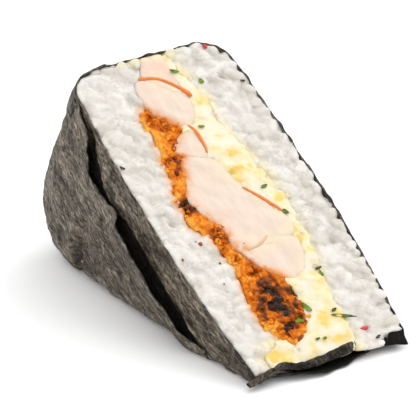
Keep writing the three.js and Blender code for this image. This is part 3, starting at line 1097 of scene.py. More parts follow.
crumb = Finish("spicy_crumb", Roughness=0.45, Specular_IOR_Level=0.14)
grit = crumb.noise(scale=1.3, detail=4.0)
burn = crumb.math("ADD", crumb.attribute("char"), crumb.spread(grit, 0.3, 0.7, -0.14, 0.14))
burn = crumb.math("ADD", burn, crumb.spread(crumb.attribute("tone"), 0, 1, -0.2, 0.18))
crumb_colour = crumb.ramp(
    burn,
    (0.0, rgb(255, 184, 72)),
    (0.18, rgb(252, 148, 22)),
    (0.38, rgb(224, 112, 6)),
    (0.6, rgb(146, 68, 10)),
    (0.95, rgb(48, 32, 18)),
)
crumb.paint(crumb_colour)
dull_to_glossy = crumb.spread(crumb.attribute("char"), 0.45, 0.9, 0.5, 0.26)
crumb.give("Roughness", dull_to_glossy)
crumb.bump(grit, distance=0.2, strength=0.7)
print("nodes in the crumb finish:", len(crumb.tree.nodes))

# %% [markdown]
# ## Spicy crumb
# The coat is a rough slab with many jagged crumbs strewn over it, so that it catches the light in
# small facets. It is paler where it touches the rice, since the sauce is thin there.

# %% Crumb
def place_char(obj, darker):
    """Writes how burnt a piece of the coat is, less so beside the rice."""
    beside_rice = 0.3 * nearness(obj, thin_bed, reach=1.6)
    set_attribute(obj, "char", char(points_of(obj)) + darker - beside_rice)


crumb_slab = slab("crumb_coat", "crumb_slab", voxel=0.32, swell=0.15, rounds=1)
roughen(crumb_slab, amount=0.7, size=1.8, seed=81, lift=-0.05)
roughen(crumb_slab, amount=0.5, size=0.8, seed=82)
place_char(crumb_slab, darker=0.1)
set_attribute(crumb_slab, "tone", 0.5)
crumb_slab.data.materials.append(crumb.material)
crumb_tree = scatter_tree("strew_crumb", crumb.material)
crumb_bits = strew(
    "crumb_bits", crumb_bed, crumb_tree, crumb_shapes,
    Spacing=0.72 * MM, Sink=0.1 * MM, Tilt=3.0, Smallest=0.35, Largest=1.2, Seed=6,
)
scatter_pieces(crumb_bits, amount=0.5, seed=12)
place_char(crumb_bits, darker=0.0)
crumb_core = core_of("crumb_coat", "crumb_core", crumb.material)
set_attribute(crumb_core, "char", 0.5)
set_attribute(crumb_core, "tone", 0.5)
finish_piece(join("crumb_coat_piece", [crumb_slab, crumb_bits, crumb_core]), "crumb", "crumb_coat")

# %% [markdown]
# ## Nori
# Nori is pressed and dried seaweed, a third of a millimetre of dark felt that takes the shape of
# what it wraps. It shows the lumps of the rice, small wrinkles and a grain that runs one way. It is
# modelled as a grid of points over the half's skin, from the cut's edge down one broad face, round
# the slanted side and up the other face, and every point is moved out or in by noise. A second
# surface just under the first makes it a closed sheet.

# %% The outline of the half
def outline(base, corner, slant, apex):
    """Along, depth, normal's angle and edge radius, from the base round to the apex."""
    slant_angle = math.pi / 2 - SLOPE
    rows = [(0, corner_depth * i / base, math.pi, BASE_EDGE) for i in range(base + 1)]
    for i in range(1, corner + 1):
        t = i / corner
        angle = math.pi + (slant_angle - math.pi) * t
        a = corner_along + CORNER_RADIUS * math.cos(angle)
        d = corner_depth + CORNER_RADIUS * math.sin(angle)
        rows.append((a, d, angle, BASE_EDGE + (SLANT_EDGE - BASE_EDGE) * t))
    start = rows[-1]
    end_along = apex_along + APEX_RADIUS * math.cos(slant_angle)
    end_depth = APEX_RADIUS * math.sin(slant_angle)
    for i in range(1, slant + 1):
        t = i / slant
        edge = SLANT_EDGE + (APEX_EDGE - SLANT_EDGE) * float(smoothstep(t, 0.5, 1))
        a, d = start[0] + (end_along - start[0]) * t, start[1] + (end_depth - start[1]) * t
        rows.append((a, d, slant_angle, edge))
    for i in range(1, apex + 1):
        angle = slant_angle * (1 - i / apex)
        a, d = apex_along + APEX_RADIUS * math.cos(angle), APEX_RADIUS * math.sin(angle)
        rows.append((a, d, angle, APEX_EDGE))
    return np.array(rows)


def skin(rows, share, side, to_cut, turn, over):
    """Points of the skin and their outward normals, as grids of rows by columns."""
    along, depth, angle, edge = (rows[:, k][:, None] for k in range(4))
    per_column = (side, to_cut, turn, over)
    side, to_cut, turn, over = (v[None, :] if np.ndim(v) == 1 else v for v in per_column)
    shift = -edge * (1 - np.cos(turn))
    a = along + shift * np.cos(angle)
    d = depth + shift * np.sin(angle)
    cut_along = edge + (HEIGHT - APEX_EDGE - edge) * share[:, None]
    a = a + (cut_along - a) * to_cut
    d = d * (1 - to_cut)
    h = half_thickness(a, d)
    c = np.where(side == 0, over * (h - edge), side * (h - edge * (1 - np.sin(turn))))
    full = np.ones_like(a)
    flat = np.cos(turn) * full
    outward = side * np.sin(turn) * full
    normal = np.stack([np.cos(angle) * flat, np.sin(angle) * flat, outward], axis=-1)
    points = np.stack([a, d, c * full], axis=-1)
    return points, normal / np.linalg.norm(normal, axis=-1, keepdims=True)


def columns(face, edge, wall):
    """Side, share of the way to the cut, turn and place across for each column."""
    quarter = math.pi / 2
    up = np.linspace(0, 1, face + 1)[1:]
    rounding = np.linspace(0, quarter, edge + 1)[1:]
    on_face, on_edge = np.full(face, quarter), np.zeros(edge)
    level, aside = np.zeros(wall + 1), np.zeros(face + edge)
    side = np.r_[aside - 1, level, aside + 1]
    to_cut = np.r_[up[::-1], on_edge, level, on_edge, up]
    turn = np.r_[on_face, rounding[::-1], level, rounding, on_face]
    over = np.r_[aside, np.linspace(-1, 1, wall + 1), aside]
    return side, to_cut, turn, over


path = outline(base=1, corner=16, slant=1, apex=8)[:, :2]
print("nori from the cut round to the cut:", round(np.hypot(*np.diff(path, axis=0).T).sum(), 1), "mm")

# %% [markdown]
# ## A sheet from two grids
# Each piece of nori is a grid of points with a second grid just under it, joined all round the rim
# and welded. That makes it a closed solid of even thickness, and each side carries its own
# painted shade: the inside of a fold is painted darker than its outside, as shade.

# %% A closed sheet from two grids
def grid_normals(grid):
    """Unit normals of a grid of points, from its rows and columns."""
    down, across = np.gradient(grid, axis=0), np.gradient(grid, axis=1)
    normal = np.cross(across, down)
    return normal / np.maximum(np.linalg.norm(normal, axis=-1, keepdims=True), 1e-9)


def sheet(name, outer, inner, material, shade=0.0, inner_shade=0.0):
    """A closed sheet between two grids of points, each side with its own painted shade."""
    rows, cols = outer.shape[:2]
    at = np.arange(rows * cols).reshape(rows, cols)
    back = at + rows * cols
    front_quads = np.stack([at[:-1, :-1], at[:-1, 1:], at[1:, 1:], at[1:, :-1]], -1)
    back_quads = np.stack([back[:-1, :-1], back[1:, :-1], back[1:, 1:], back[:-1, 1:]], -1)
    quads = [front_quads.reshape(-1, 4), back_quads.reshape(-1, 4)]
    rim = np.concatenate([at[:-1, 0], at[-1, :-1], at[:0:-1, -1], at[0, :0:-1]])
    after = np.roll(rim, -1)
    quads.append(np.stack([rim, after, after + rows * cols, rim + rows * cols], -1))
    both = np.concatenate([outer.reshape(-1, 3), inner.reshape(-1, 3)])
    obj = mesh_object(name, both, np.concatenate(quads))
    full = np.ones((rows, cols))
    shades = np.concatenate([(full * shade).ravel(), (full * inner_shade).ravel()])
    set_attribute(obj, "shade", shades)
    weld(obj, 2e-6)
    obj.data.materials.append(material)
    return obj


small_grid = np.stack([*np.mgrid[0:2, 0:2], np.zeros((2, 2))], axis=-1)
print("normal of a flat grid:", grid_normals(small_grid)[0, 0])

# %% [markdown]
# ## The look of nori
# Nori is a felt of seaweed: near black with paler fibres that run one way and broad cloudy
# patches. Three noises make it, two of them drawn out along the cut. The ramp's pale stops are
# brighter than nori's own colour: they are partly painted sheen, the grey that the light gives
# the near face. The shade attribute is painted shade: it takes the insides of folds, the small
# holes and the places under other layers down to black, and makes them dull.

# %% The nori finish
nori = Finish("nori", Roughness=0.5, Specular_IOR_Level=0.2)
object_place = nori.node("ShaderNodeTexCoord").outputs["Object"]
turned = nori.node("ShaderNodeMapping", Vector=object_place, Rotation=(0, -SLOPE, 0)).outputs[0]


def fibres(along, across, detail, roughness, warp):
    """Noise drawn out along the cut, its two scales given per millimetre."""
    scale = (along / MM, across / MM, across / MM)
    drawn = nori.node("ShaderNodeMapping", Vector=turned, Scale=scale).outputs[0]
    return nori.noise(detail=detail, roughness=roughness, warp=warp, vector=drawn)


streak = fibres(along=0.24, across=0.8, detail=5.0, roughness=0.66, warp=0.5)
fine = fibres(along=0.9, across=2.4, detail=4.0, roughness=0.65, warp=0.3)
patch = fibres(along=0.11, across=0.17, detail=3.0, roughness=0.55, warp=0.4)
tone = nori.math("ADD", nori.math("MULTIPLY", streak, 0.43), nori.math("MULTIPLY", fine, 0.44))
tone = nori.math("ADD", tone, nori.math("MULTIPLY", patch, 0.18))
# The fibres' colour; its paler stops are partly painted sheen.
nori_colour_and_sheen = nori.ramp(
    tone,
    (0.4, rgb(18, 13, 8)),
    (0.48, rgb(60, 52, 43)),
    (0.545, rgb(110, 99, 85)),
    (0.66, rgb(188, 175, 156)),
)
# Painted shade: the colour goes to near black as far as the shade attribute says.
PAINTED_SHADE_BLACK = (0.002, 0.002, 0.0015, 1)
nori.paint(nori.mix(nori.attribute("shade"), nori_colour_and_sheen, PAINTED_SHADE_BLACK))
duller = nori.math("MULTIPLY", nori.attribute("shade"), 0.4)
gloss = nori.spread(fine, 0.3, 0.7, 0.6, 0.42)
nori.give("Roughness", nori.math("ADD", gloss, duller))
nori.bump(nori.math("ADD", streak, nori.math("MULTIPLY", fine, 0.6)), distance=0.6)
print("nodes in the nori finish:", len(nori.tree.nodes))

# %% [markdown]
# ## The wrap
# The grid's edge at the cut is torn a little unevenly by the knife. At the base and along the far
# edge it sits lower than the rice, which swells over it. Round the apex the sheet stands off the
# food, as a folded end does, and nothing reaches below the side that the half lies on.

# %% Wrap the half
NORI_THICK = 0.34
GRID = dict(face=60, edge=9, wall=50)
ROWS = dict(base=36, corner=34, slant=90, apex=14)
BASE_TEETH = [-9.5, 1.3, 12.5]
FAR_TEETH = [12.0, 25.2, 29.0, 42.5, 45.5, 49.3]
HOLES = [
    (37.4, 18.1, 0.8), (15.5, 33.1, 0.9), (7.0, 20.6, 0.9), (9.5, 31.0, 0.7), (6.5, 3.5, 1.2),
    (27.0, 13.0, 0.5),
]


def crinkle(points, seed):
    """How far the nori stands out or in, from lumps, dents, wrinkles and one crease."""
    a, d, c = np.moveaxis(points, -1, 0)
    lump = 0.22 * fractal(points, 3.2, 2, seed)
    dent = 0.45 * fractal(points, 14.0, 2, seed + 7)
    stretched = points * [0.3, 1.0, 1.0]
    wrinkle = 0.25 * ridges(stretched, 2.6, seed + 13) - 0.3 * ridges(stretched, 4.4, seed + 19)
    rough = 0.12 * fractal(points * [0.5, 1, 1], 1.1, 2, seed + 31)
    line = a - 21.5 - 0.12 * (d - 22)
    near_face = (c < -8) * smoothstep(d, 17, 26)
    crest = 0.5 * np.exp(-(((line + 2.2) / 1.6) ** 2))
    crease = near_face * (crest - np.exp(-(((line - 0.4) / 1.3) ** 2)))
    return lump + dent + wrinkle + rough + crease


def painted_hole_and_fold_shade(points):
    """Painted shade in the small holes, and in the fold beside the crease, on the near face."""
    a, d, near = points[..., 0], points[..., 1], points[..., 2] < -8
    spots = sum(spot(a, d, *hole) for hole in HOLES)
    fold = 0.75 * np.exp(-(((a - 22.3 - 0.12 * (d - 22)) / 1.3) ** 2)) * smoothstep(d, 22, 29)
    return np.clip(spots + fold, 0, 1) * near


def torn_level(points):
    """Depth of the nori's edge at the cut."""
    a, c = points[..., 0], points[..., 2]
    far = smoothstep(c, 0, THICKNESS / 3)
    base = 1 - smoothstep(a, 0.5, 4)
    end = smoothstep(a, HEIGHT - 4, HEIGHT - 1)
    ragged = 0.35 * fractal(points * [1, 0, 1], 2.2, 3, 3)
    end = end * (1 - smoothstep(np.abs(c), 14.5, 17.0))
    drop = -0.3 * far * (1 - smoothstep(a, 69, 75)) - 0.05 * base * (1 - far)
    teeth = sum(np.exp(-((c - x) ** 2)) for x in BASE_TEETH) * base
    teeth = teeth + sum(np.exp(-(((a - x) / 1.3) ** 2)) for x in FAR_TEETH) * far
    return cut_level(a, c) + drop * (1 - end) + ragged + 0.8 * end - 0.5 * teeth


def above_ground(grid, clearance):
    """Keeps a grid from reaching below the surface that the half lies on."""
    world = place(grid)
    world[..., 2] = np.maximum(world[..., 2], clearance * MM)
    return unplace(world)


def offset(grid, normals, by, clearance):
    """A grid moved along its normals, and kept above the ground."""
    return above_ground(grid + normals * np.asarray(by)[..., None], clearance)


FLAP_EDGE = [
    (0, 0.2), (9, 0.3), (13, 0.7), (15.5, 1.8), (19, 5.0), (24.5, 8.0), (30.5, 8.0), (33, 6.9),
    (48, 7.2), (57, 8.2), (63, 9.3), (70, 9.5),
]
FLAP_LIFT = [
    (0, 0.2), (9, 0.3), (14, 0.4), (18, 0.65), (22.5, 0.6), (25.5, 0.1), (30.5, 0.2), (34, 2.2),
    (50, 2.6), (57, 1.9), (64, 1.1),
]

rows = outline(**ROWS)
share = np.linspace(0, 1, len(rows))
side, to_cut, turn, over = columns(**GRID)
points, normals = skin(rows, share, side, to_cut, turn, over)
level = torn_level(points)
points[..., 1] += level * (1 - smoothstep(points[..., 1], 0, 6.0))
edge_free = smoothstep(points[..., 1] - level, 0.0, 1.5)
below_edge = points[..., 1] - along_curve(FLAP_EDGE, points[..., 0])
under_flap = (side < 0)[None, :] * smoothstep(below_edge, -0.3, 0.9)
under_flap = under_flap * smoothstep(points[..., 0], 12, 15) * (1 - smoothstep(points[..., 0], 61, 66))
out = crinkle(points, 2) * (0.3 + 0.7 * edge_free) * (1 - 0.6 * under_flap) - 0.7 * under_flap
out = np.minimum(out, 1.1)
outer = offset(points, normals, out, clearance=0.0)
inner = offset(points, normals, out - NORI_THICK, clearance=NORI_THICK)
print("the nori stands out by", round(out.min(), 2), "to", round(out.max(), 2), "mm")

# %% [markdown]
# ## The open lip at the apex
# Round the apex the sheet leaves the food and runs on along the ground as a short open lip. The
# food's end and the tucked layer hang over it, so that a dark hollow shows between them. The
# inside of the lip is painted black as shade, and left paler along its rim as painted light.

# %% Bend the wrap's last rows into the lip
LIP_REACH = [
    (-19.5, 42.2), (-17, 41.2), (-14, 40.8), (-7.2, 43.6), (-3.7, 44.2), (1.5, 43.4), (6.8, 41.8),
    (11.6, 41.3), (17.3, 41.6), (19.5, 42.3),
]
LIP_RISE = [
    (-19.5, 0.9), (-14, 1.4), (-9, 1.5), (-5, 0.9), (-2, 0.45), (2, 0.4), (7, 0.8), (11, 1.2),
    (16.5, 1.3), (19.5, 1.2),
]


def lip_position(points, t):
    """Where the lip lies for points round the apex, t running from the ground line to its rim."""
    world = place(points) / MM
    start = apex_along * COS + X0
    c = points[..., 2]
    wave = 0.25 * fractal(points * [0, 0, 1], 3.0, 3, 61)
    world[..., 0] = start + (along_curve(LIP_REACH, c) + wave - start) * t
    world[..., 2] = (along_curve(LIP_RISE, c) + 0.5 * wave) * t**2.4 + 0.02
    return unplace(world * MM)


at_apex = rows[:, 2] < math.pi / 2 - SLOPE - 1e-6
t = np.where(at_apex, 1 - rows[:, 2] / (math.pi / 2 - SLOPE), 0)[:, None] * np.ones_like(out)
on_wall = side == 0
nearest = np.clip(np.arange(len(side)), *np.flatnonzero(on_wall)[[0, -1]])
move = (lip_position(points, t) - points)[:, nearest]
hold = (np.cos(turn) ** 1.5 * (to_cut == 0))[None, :, None] * at_apex[:, None, None]
bent = np.where(on_wall[None, :, None], (points + move - outer) * hold, move * hold)
outer = above_ground(outer + bent, 0.0)
tilt = grid_normals(outer)
tilt *= np.sign(np.sum(tilt * normals, axis=-1, keepdims=True))
inner = np.where(at_apex[:, None, None], offset(outer, tilt, -NORI_THICK, clearance=0.3), inner)
# Painted shade: the lip's inside is black, with a painted highlight that lifts it along the rim.
lit_rim = (0.6 - 0.55 * smoothstep(points[..., 2], -15, -11)) * smoothstep(t, 0.93, 1.0)
hollow = smoothstep(t, 0.0, 0.2) * (1 - lit_rim)
# Painted shade on the wrap's outside: black under the flap's edge, dark in the holes and the fold, and
# darker on the faces away from the near face, most of all towards the apex.
off_face_shade_amount = 0.42 + 0.45 * smoothstep(points[..., 0], 76, 79)
painted_shade_off_near_face = off_face_shade_amount * smoothstep(points[..., 2], -17, -9)
outside_painted_shade = np.maximum(np.maximum(0.85 * under_flap, painted_hole_and_fold_shade(points)), painted_shade_off_near_face)
wrap = sheet("nori_wrap", outer, inner, nori.material, outside_painted_shade, hollow)
finish_piece(wrap, "nori", "nori_sheet")

# %% [markdown]
# ## The flap
# The sheet's end is folded over the near face and its edge stands off, so that a dark slit runs
# beside the cut. The edge starts at the cut near the base, swings down and then follows the cut.
# The flap is a second grid over the same skin, raised by a lift that grows towards that edge.

# %% Lay the flap over the near face
def flap_grid(arc=10, face=70):
    """The flap's points and normals, each column's share of the way up, and how free each row is."""
    cut_along = rows[:, 3] + (HEIGHT - APEX_EDGE - rows[:, 3]) * share
    keep = (rows[:, 1] > 1.5) & (cut_along < 66)
    inner_rows, inner_share, cut_along = rows[keep], share[keep], cut_along[keep]
    quarter = math.pi / 2
    turn = np.r_[np.linspace(0.45, quarter, arc + 1)[:-1], np.full(face + 1, quarter)]
    reach = np.r_[np.zeros(arc), np.linspace(0, 1, face + 1)]
    side = -np.ones(len(turn))
    full, _ = skin(inner_rows, inner_share, side, np.zeros(len(turn)), turn, np.zeros(len(turn)))
    start = full[:, -1]
    edge_depth = along_curve(FLAP_EDGE, cut_along)
    to_cut_end = np.clip(1 - edge_depth / np.maximum(start[:, 1], 1e-3), 0, 1)
    to_cut = reach[None, :] * to_cut_end[:, None]
    grid, normal = skin(inner_rows, inner_share, side, to_cut, turn, np.zeros(len(turn)))
    return grid, normal, reach, smoothstep(start[:, 1], 1.5, 7)


flap_points, flap_normals, flap_reach, free = flap_grid()
lengthwise = np.linalg.norm(flap_points - flap_points[:, -1:], axis=-1)
toward_edge = 1 - smoothstep(lengthwise, 0.0, 9.0)
end_of_flap = 1 - smoothstep(flap_points[:, -1, 0], 60, 66)
lift = along_curve(FLAP_LIFT, flap_points[:, -1, 0])[:, None] * toward_edge * free[:, None]
seat = -0.3 + 0.75 * smoothstep(flap_reach, 0.0, 0.25)[None, :] * free[:, None]
ragged = 0.35 * fractal(flap_points[:, -1] * [1, 0, 0], 1.6, 3, 21)
flap_points[..., 1] += ragged[:, None] * toward_edge**3
sway = 0.15 * fractal(flap_points, 6.0, 2, 33)
raised = (seat + lift) * end_of_flap[:, None]
flap_out = crinkle(flap_points, 2) * (1 - 0.75 * toward_edge) + sway + raised
# Painted shade: the flap's holes and fold are dark, and its underside, seen in the slit, is black.
flap = sheet(
    "nori_flap",
    offset(flap_points, flap_normals, flap_out + NORI_THICK, clearance=0.0),
    offset(flap_points, flap_normals, flap_out, clearance=0.05),
    nori.material,
    painted_hole_and_fold_shade(flap_points),
    1.0,
)
print("flap grid:", flap_points.shape[:2])

# %% [markdown]
# ## The tucked end
# At the apex a narrow end of the sheet lies between the food and the outer nori, and its edge
# curls over the egg.

# %% Tuck the end in at the apex
TUCK_RIM = [
    (-19.7, 82.0), (-17.5, 81.6), (-15.3, 81.2), (-11.7, 80.4), (-7.4, 81.4), (-3.9, 81.7),
    (0.2, 81.3), (4.4, 80.9), (6.2, 79.6),
]
TUCK_TOP = [
    (-19.7, 81.7), (-18, 81.1), (-14, 80.2), (-11, 79.6), (-7.2, 80.8), (-5, 80.5), (0.4, 80.0),
    (3.4, 79.4), (6.2, 79.1),
]


def tuck_grid(steps=90):
    """A rolled lip: up from the hollow, out to its rim, over and down into the egg."""
    c = np.linspace(-19.6, 6.2, steps)
    rim, top = along_curve(TUCK_RIM, c), along_curve(TUCK_TOP, c)
    rim = rim + 0.15 * fractal(np.stack([c, 0 * c, 0 * c], 1), 1.6, 2, 71)
    top = top + 0.3 * fractal(np.stack([c, 0 * c + 9, 0 * c], 1), 1.5, 2, 72)
    slim = smoothstep(c, -20.6, -16.5) * (1 - smoothstep(c, 4.8, 6.2))
    sink = 0.55 * (1 - smoothstep(c, -20.0, -14.0))
    section = [
        (rim - 1.3, 0.2 + 2.0 * slim),
        (rim - 0.7, 0.15 + 1.1 * slim),
        (rim - 0.1, 0.1 + 0.25 * slim),
        (rim, -0.15 + 0 * slim),
        (rim - 0.25, -0.2 - 0.35 * slim),
        ((rim + top) / 2, -0.25 - 0.55 * slim),
        (top + 0.1, -0.25 - 0.65 * slim),
        (top - 0.45, -0.2 - 0.3 * slim),
        (top - 0.9, 0.1 + 0.1 * slim),
    ]
    knots = np.array([np.stack([a, d + sink, c], 1) for a, d in section])
    fine = np.linspace(0, len(section) - 1, 33)
    i = np.clip(fine.astype(int), 0, len(section) - 2)
    f = (fine - i)[:, None, None]
    before, after = knots[np.maximum(i - 1, 0)], knots[np.minimum(i + 2, len(section) - 1)]
    here, there = knots[i], knots[i + 1]
    third = 3 * (here - there) + after - before
    second = 2 * before - 5 * here + 4 * there - after + f * third
    return here + 0.5 * f * (there - before + f * second)


tuck_points = tuck_grid()
tuck_points[..., 1] += 0.4 * fractal(tuck_points * [1, 1, 0.4], 1.4, 3, 73)
tuck_normals = grid_normals(tuck_points)
round_the_roll = np.linspace(0, 1, len(tuck_points))[:, None]
painted_shade_in_roll = 1 - smoothstep(round_the_roll, 0.22, 0.34)
# Painted shade: the part of the roll down in the hollow and the underside are black, and the rest is
# darkened, more so on the far side.
tuck = sheet(
    "nori_tuck",
    above_ground(tuck_points, clearance=0.2),
    offset(tuck_points, tuck_normals, -0.25, clearance=0.2),
    nori.material,
    np.maximum(painted_shade_in_roll, 0.3 + 0.35 * smoothstep(tuck_points[..., 2], -16, -9)),
    1.0,
)
print("tuck grid:", tuck_points.shape[:2])

# %% [markdown]
# ## The lining
# Looking into the open lip, one sees only deep shade. A small inner sheet follows the food's round
# end and closes that view; it is painted black on both sides, as painted shade.

# %% Line the food's end
liner_rows = rows[at_apex]
liner_over = np.linspace(-0.97, 0.97, 60)
zero = np.zeros(len(liner_over))
liner_points, liner_normals = skin(liner_rows, np.zeros(len(liner_rows)), zero, zero, zero, liner_over)
liner_points[..., 1] += 0.45 * smoothstep(np.linspace(0, 1, len(liner_rows)), 0.5, 1)[:, None]
bulge = 0.6 * smoothstep(liner_points[..., 2], 4, 9)
# A sheet that is painted shade, black on both sides.
shade_liner = sheet(
    "nori_liner",
    offset(liner_points, liner_normals, bulge - 0.35, clearance=0.4),
    offset(liner_points, liner_normals, bulge - 0.6, clearance=0.5),
    nori.material,
    1.0,
    1.0,
)

# %% [markdown]
# ## The corner patch
# At the far corner of the apex a small torn end of the sheet is folded over the rice. It is a
# narrow grid between two edges, made a little wavy, and painted nearly black on both sides as
# shade.

# %% The corner patch
PATCH_LOW = [(12.4, 81.3), (14.5, 81.8), (17.0, 82.5)]
PATCH_TOP = [(12.4, 81.0), (13.9, 79.5), (17.0, 79.6)]
PATCH_ROWS, PATCH_COLUMNS = 14, 22
patch_across = np.linspace(12.4, 17.0, PATCH_COLUMNS)
patch_low, patch_top = along_curve(PATCH_LOW, patch_across), along_curve(PATCH_TOP, patch_across)
patch_t = np.linspace(0, 1, PATCH_ROWS)[:, None]
patch_a = patch_top + (patch_low - patch_top) * patch_t
patch_c = np.tile(patch_across, (PATCH_ROWS, 1))
patch_flat = np.stack([patch_a, 0 * patch_a, patch_c], -1)
patch_d = -0.9 + 1.1 * patch_t + 0.3 * fractal(patch_flat, 1.8, 2, 81)
patch_points = np.stack([patch_a, patch_d, patch_c], -1)
# Painted shade: nearly black on its outside, black beneath.
corner_patch = sheet("nori_patch", patch_points, patch_points + [0, 0.3, 0], nori.material, 0.97, 1.0)
finish_piece(join("nori_folds", [flap, tuck, shade_liner, corner_patch]), "nori")

# %% [markdown]
# ## The surface to rest on
# The small bits on the cut are placed one by one, since there are few of them and each has its own
# place. But the food under them is uneven, so a ray is sent down at each place to find the level
# of whatever lies uppermost there.

# %% Find the food's surface
RAY_START, RAY_LENGTH = -4.0, 9.0
FOOD = ["rice_thin", "rice_thick", "egg_salad_piece", "crumb_coat_piece"]
FOOD += [node + "_piece" for node in MEATS]
graph = bpy.context.evaluated_depsgraph_get()
FOOD_TREES = [BVHTree.FromObject(bpy.data.objects[name], graph) for name in FOOD]


def surface_level(a, c):
    """Depth of the uppermost food at a place on the cut."""
    start, end = place([[a, RAY_START, c], [a, RAY_START + 1, c]])
    toward = Vector(end - start).normalized()
    hits = [tree.ray_cast(Vector(start), toward, RAY_LENGTH * MM)[0] for tree in FOOD_TREES]
    depths = [unplace(np.array([hit[:]]))[0, 1] for hit in hits if hit]
    return min(depths) if depths else float(cut_level(a, c))


print("surfaces to rest on:", FOOD)

# %% [markdown]
# ## Orange skin
# Thin orange lines run along some of the meat's edges, where its skin or the sauce on it was cut
# through. A painted line would have no thickness, so each is a low cord with an uneven width that
# tapers at both ends and follows the surface under it. The last one shows only faintly.

# %% Orange skin
skin_finish = Finish(
    "orange_skin",
    Roughness=0.35,
    Specular_IOR_Level=0.5,
    Subsurface_Weight=0.2,
    Subsurface_Scale=0.001,
)
skin_noise = skin_finish.noise(scale=1.2)
skin_colour = skin_finish.ramp(skin_noise, (0.3, rgb(238, 116, 0)), (0.7, rgb(248, 142, 4)))
skin_colour = skin_finish.mix(skin_finish.attribute("faint"), skin_colour, (*rgb(240, 190, 152), 1))
skin_finish.paint(skin_colour)
FAINT = 3
SKINS = [
    ([(5.3, -3.8), (6.2, -1.2), (7.6, 1.2), (9.8, 3.1), (13.0, 4.6)], [0.55, 0.3, 0.36, 0.42, 0.72]),
    ([(19.6, 0.1), (21.2, 0.8), (24.0, 1.1), (27.2, 0.6)], [0.22, 0.36, 0.42, 0.24]),
    ([(37.4, 3.2), (41.0, 5.8), (45.4, 8.4)], [0.24, 0.42, 0.36]),
    ([(52.0, -3.4), (51.7, -1.4), (50.9, 0.6), (49.8, 2.2)], [0.14, 0.27, 0.27, 0.12]),
]


def ribbon(name, stations, widths, material, steps=28, sides=8, raise_by=0.06):
    """A thin, slightly uneven cord of skin along the cut."""
    stations, widths = np.array(stations, float), np.array(widths, float)
    t = np.linspace(0, 1, steps)
    knots = np.linspace(0, 1, len(stations))
    fit = np.polyfit(knots, stations, min(3, len(stations) - 1))
    line = np.stack([np.polyval(fit[:, k], t) for k in range(2)], axis=1)
    width = np.interp(t, knots, widths) * np.clip(np.minimum(t, 1 - t) * 14 + 0.25, 0, 1) ** 0.6
    tangent = np.gradient(line, axis=0)
    tangent /= np.linalg.norm(tangent, axis=1)[:, None]
    level = np.array([surface_level(a, c) for a, c in line])
    level = np.convolve(np.pad(level, 2, mode="edge"), np.ones(5) / 5, mode="valid") - raise_by
    points = []
    for k in range(steps):
        for s in range(sides):
            angle = 2 * math.pi * s / sides
            sideways, up = width[k] * math.cos(angle), 0.6 * width[k] * math.sin(angle)
            wobble = 1 + 0.2 * lattice(np.array([[line[k, 0] * 2, s, 0.5]]), 9)[0]
            points.append((
                line[k, 0] - tangent[k, 1] * sideways * wobble,
                level[k] - up,
                line[k, 1] + tangent[k, 0] * sideways * wobble,
            ))
    points += [(line[0, 0], level[0], line[0, 1]), (line[-1, 0], level[-1], line[-1, 1])]
    obj = mesh_object(name, points, ball_faces(steps, sides))
    weld(obj, 2e-6)
    obj.data.materials.append(material)
    return obj


ribbons = [ribbon(f"skin_{k}", *spec, skin_finish.material) for k, spec in enumerate(SKINS)]
for k, cord in enumerate(ribbons):
    set_attribute(cord, "faint", float(k == FAINT))
finish_piece(join("orange_skin", ribbons), "crumb")

# %% [markdown]
# ## Herbs, specks and flakes
# Chopped leaves, two bits of chilli, drops of sauce and crumbs of nori cling to the cut. Leaves and
# flakes are tiny closed sheets, pointed and a little curled, so that they cast a thin shadow.
# Specks and drops are small lumps, pressed in until they look stuck.

# %% Herbs
herb = Finish("green_herb", Roughness=0.5, Specular_IOR_Level=0.4)
herb_noise = herb.noise(scale=0.5, detail=2.0)
herb.paint(herb.ramp(herb_noise, (0.35, rgb(72, 88, 4)), (0.6, rgb(132, 164, 30))))
LEAF_THICK = 0.14


def leaf(name, a, c, length, width, heading, material, raise_by=0.16, curl=0.4, seed=0):
    """A small pointed leaf lying on the cut, a little curled."""
    steps, across = 9, 5
    t = np.linspace(-1, 1, steps)
    s = np.linspace(-1, 1, across)
    angle = math.radians(heading)
    outer, inner = np.zeros((steps, across, 3)), np.zeros((steps, across, 3))
    resting = surface_level(a, c)
    for i, u in enumerate(t):
        wide = 0.5 * width * (1 - abs(u) ** 2.2) ** 0.7 + 0.03
        for j, v in enumerate(s):
            x, y = 0.5 * length * u, wide * v
            x += 0.12 * length * lattice(np.array([[u * 2, v, seed]]), seed)[0]
            up = raise_by + curl * (u * u - 0.3) * 0.6 + 0.2 * v * v
            along = a + x * math.cos(angle) - y * math.sin(angle)
            over = c + x * math.sin(angle) + y * math.cos(angle)
            level = min(resting, cut_level(along, over) + 0.3)
            outer[i, j] = (along, level - up, over)
            inner[i, j] = (along, level - up + LEAF_THICK, over)
    return sheet(name, outer, inner, material)


HERBS = [
    (6.0, 4.3, 1.7, 0.8, 60), (9.8, 8.8, 1.1, 1.0, 20), (21.0, 2.5, 1.3, 0.6, 70),
    (38.5, 7.8, 1.6, 0.7, 95), (45.6, 8.9, 1.5, 0.9, 30), (60.4, 8.3, 1.5, 0.5, 95),
    (61.8, 8.2, 1.3, 0.6, 10), (68.6, 0.9, 2.6, 0.9, 20), (70.6, -1.9, 2.2, 1.3, 80),
    (70.9, 5.9, 1.3, 0.6, 100), (72.8, 7.0, 4.6, 0.75, 68), (76.4, -1.2, 0.9, 0.5, 90),
    (76.6, 0.4, 0.9, 0.5, 90),
]
leaves = [leaf(f"herb_{k}", *spec, herb.material, seed=k) for k, spec in enumerate(HERBS)]
finish_piece(join("green_herbs", leaves), "egg")

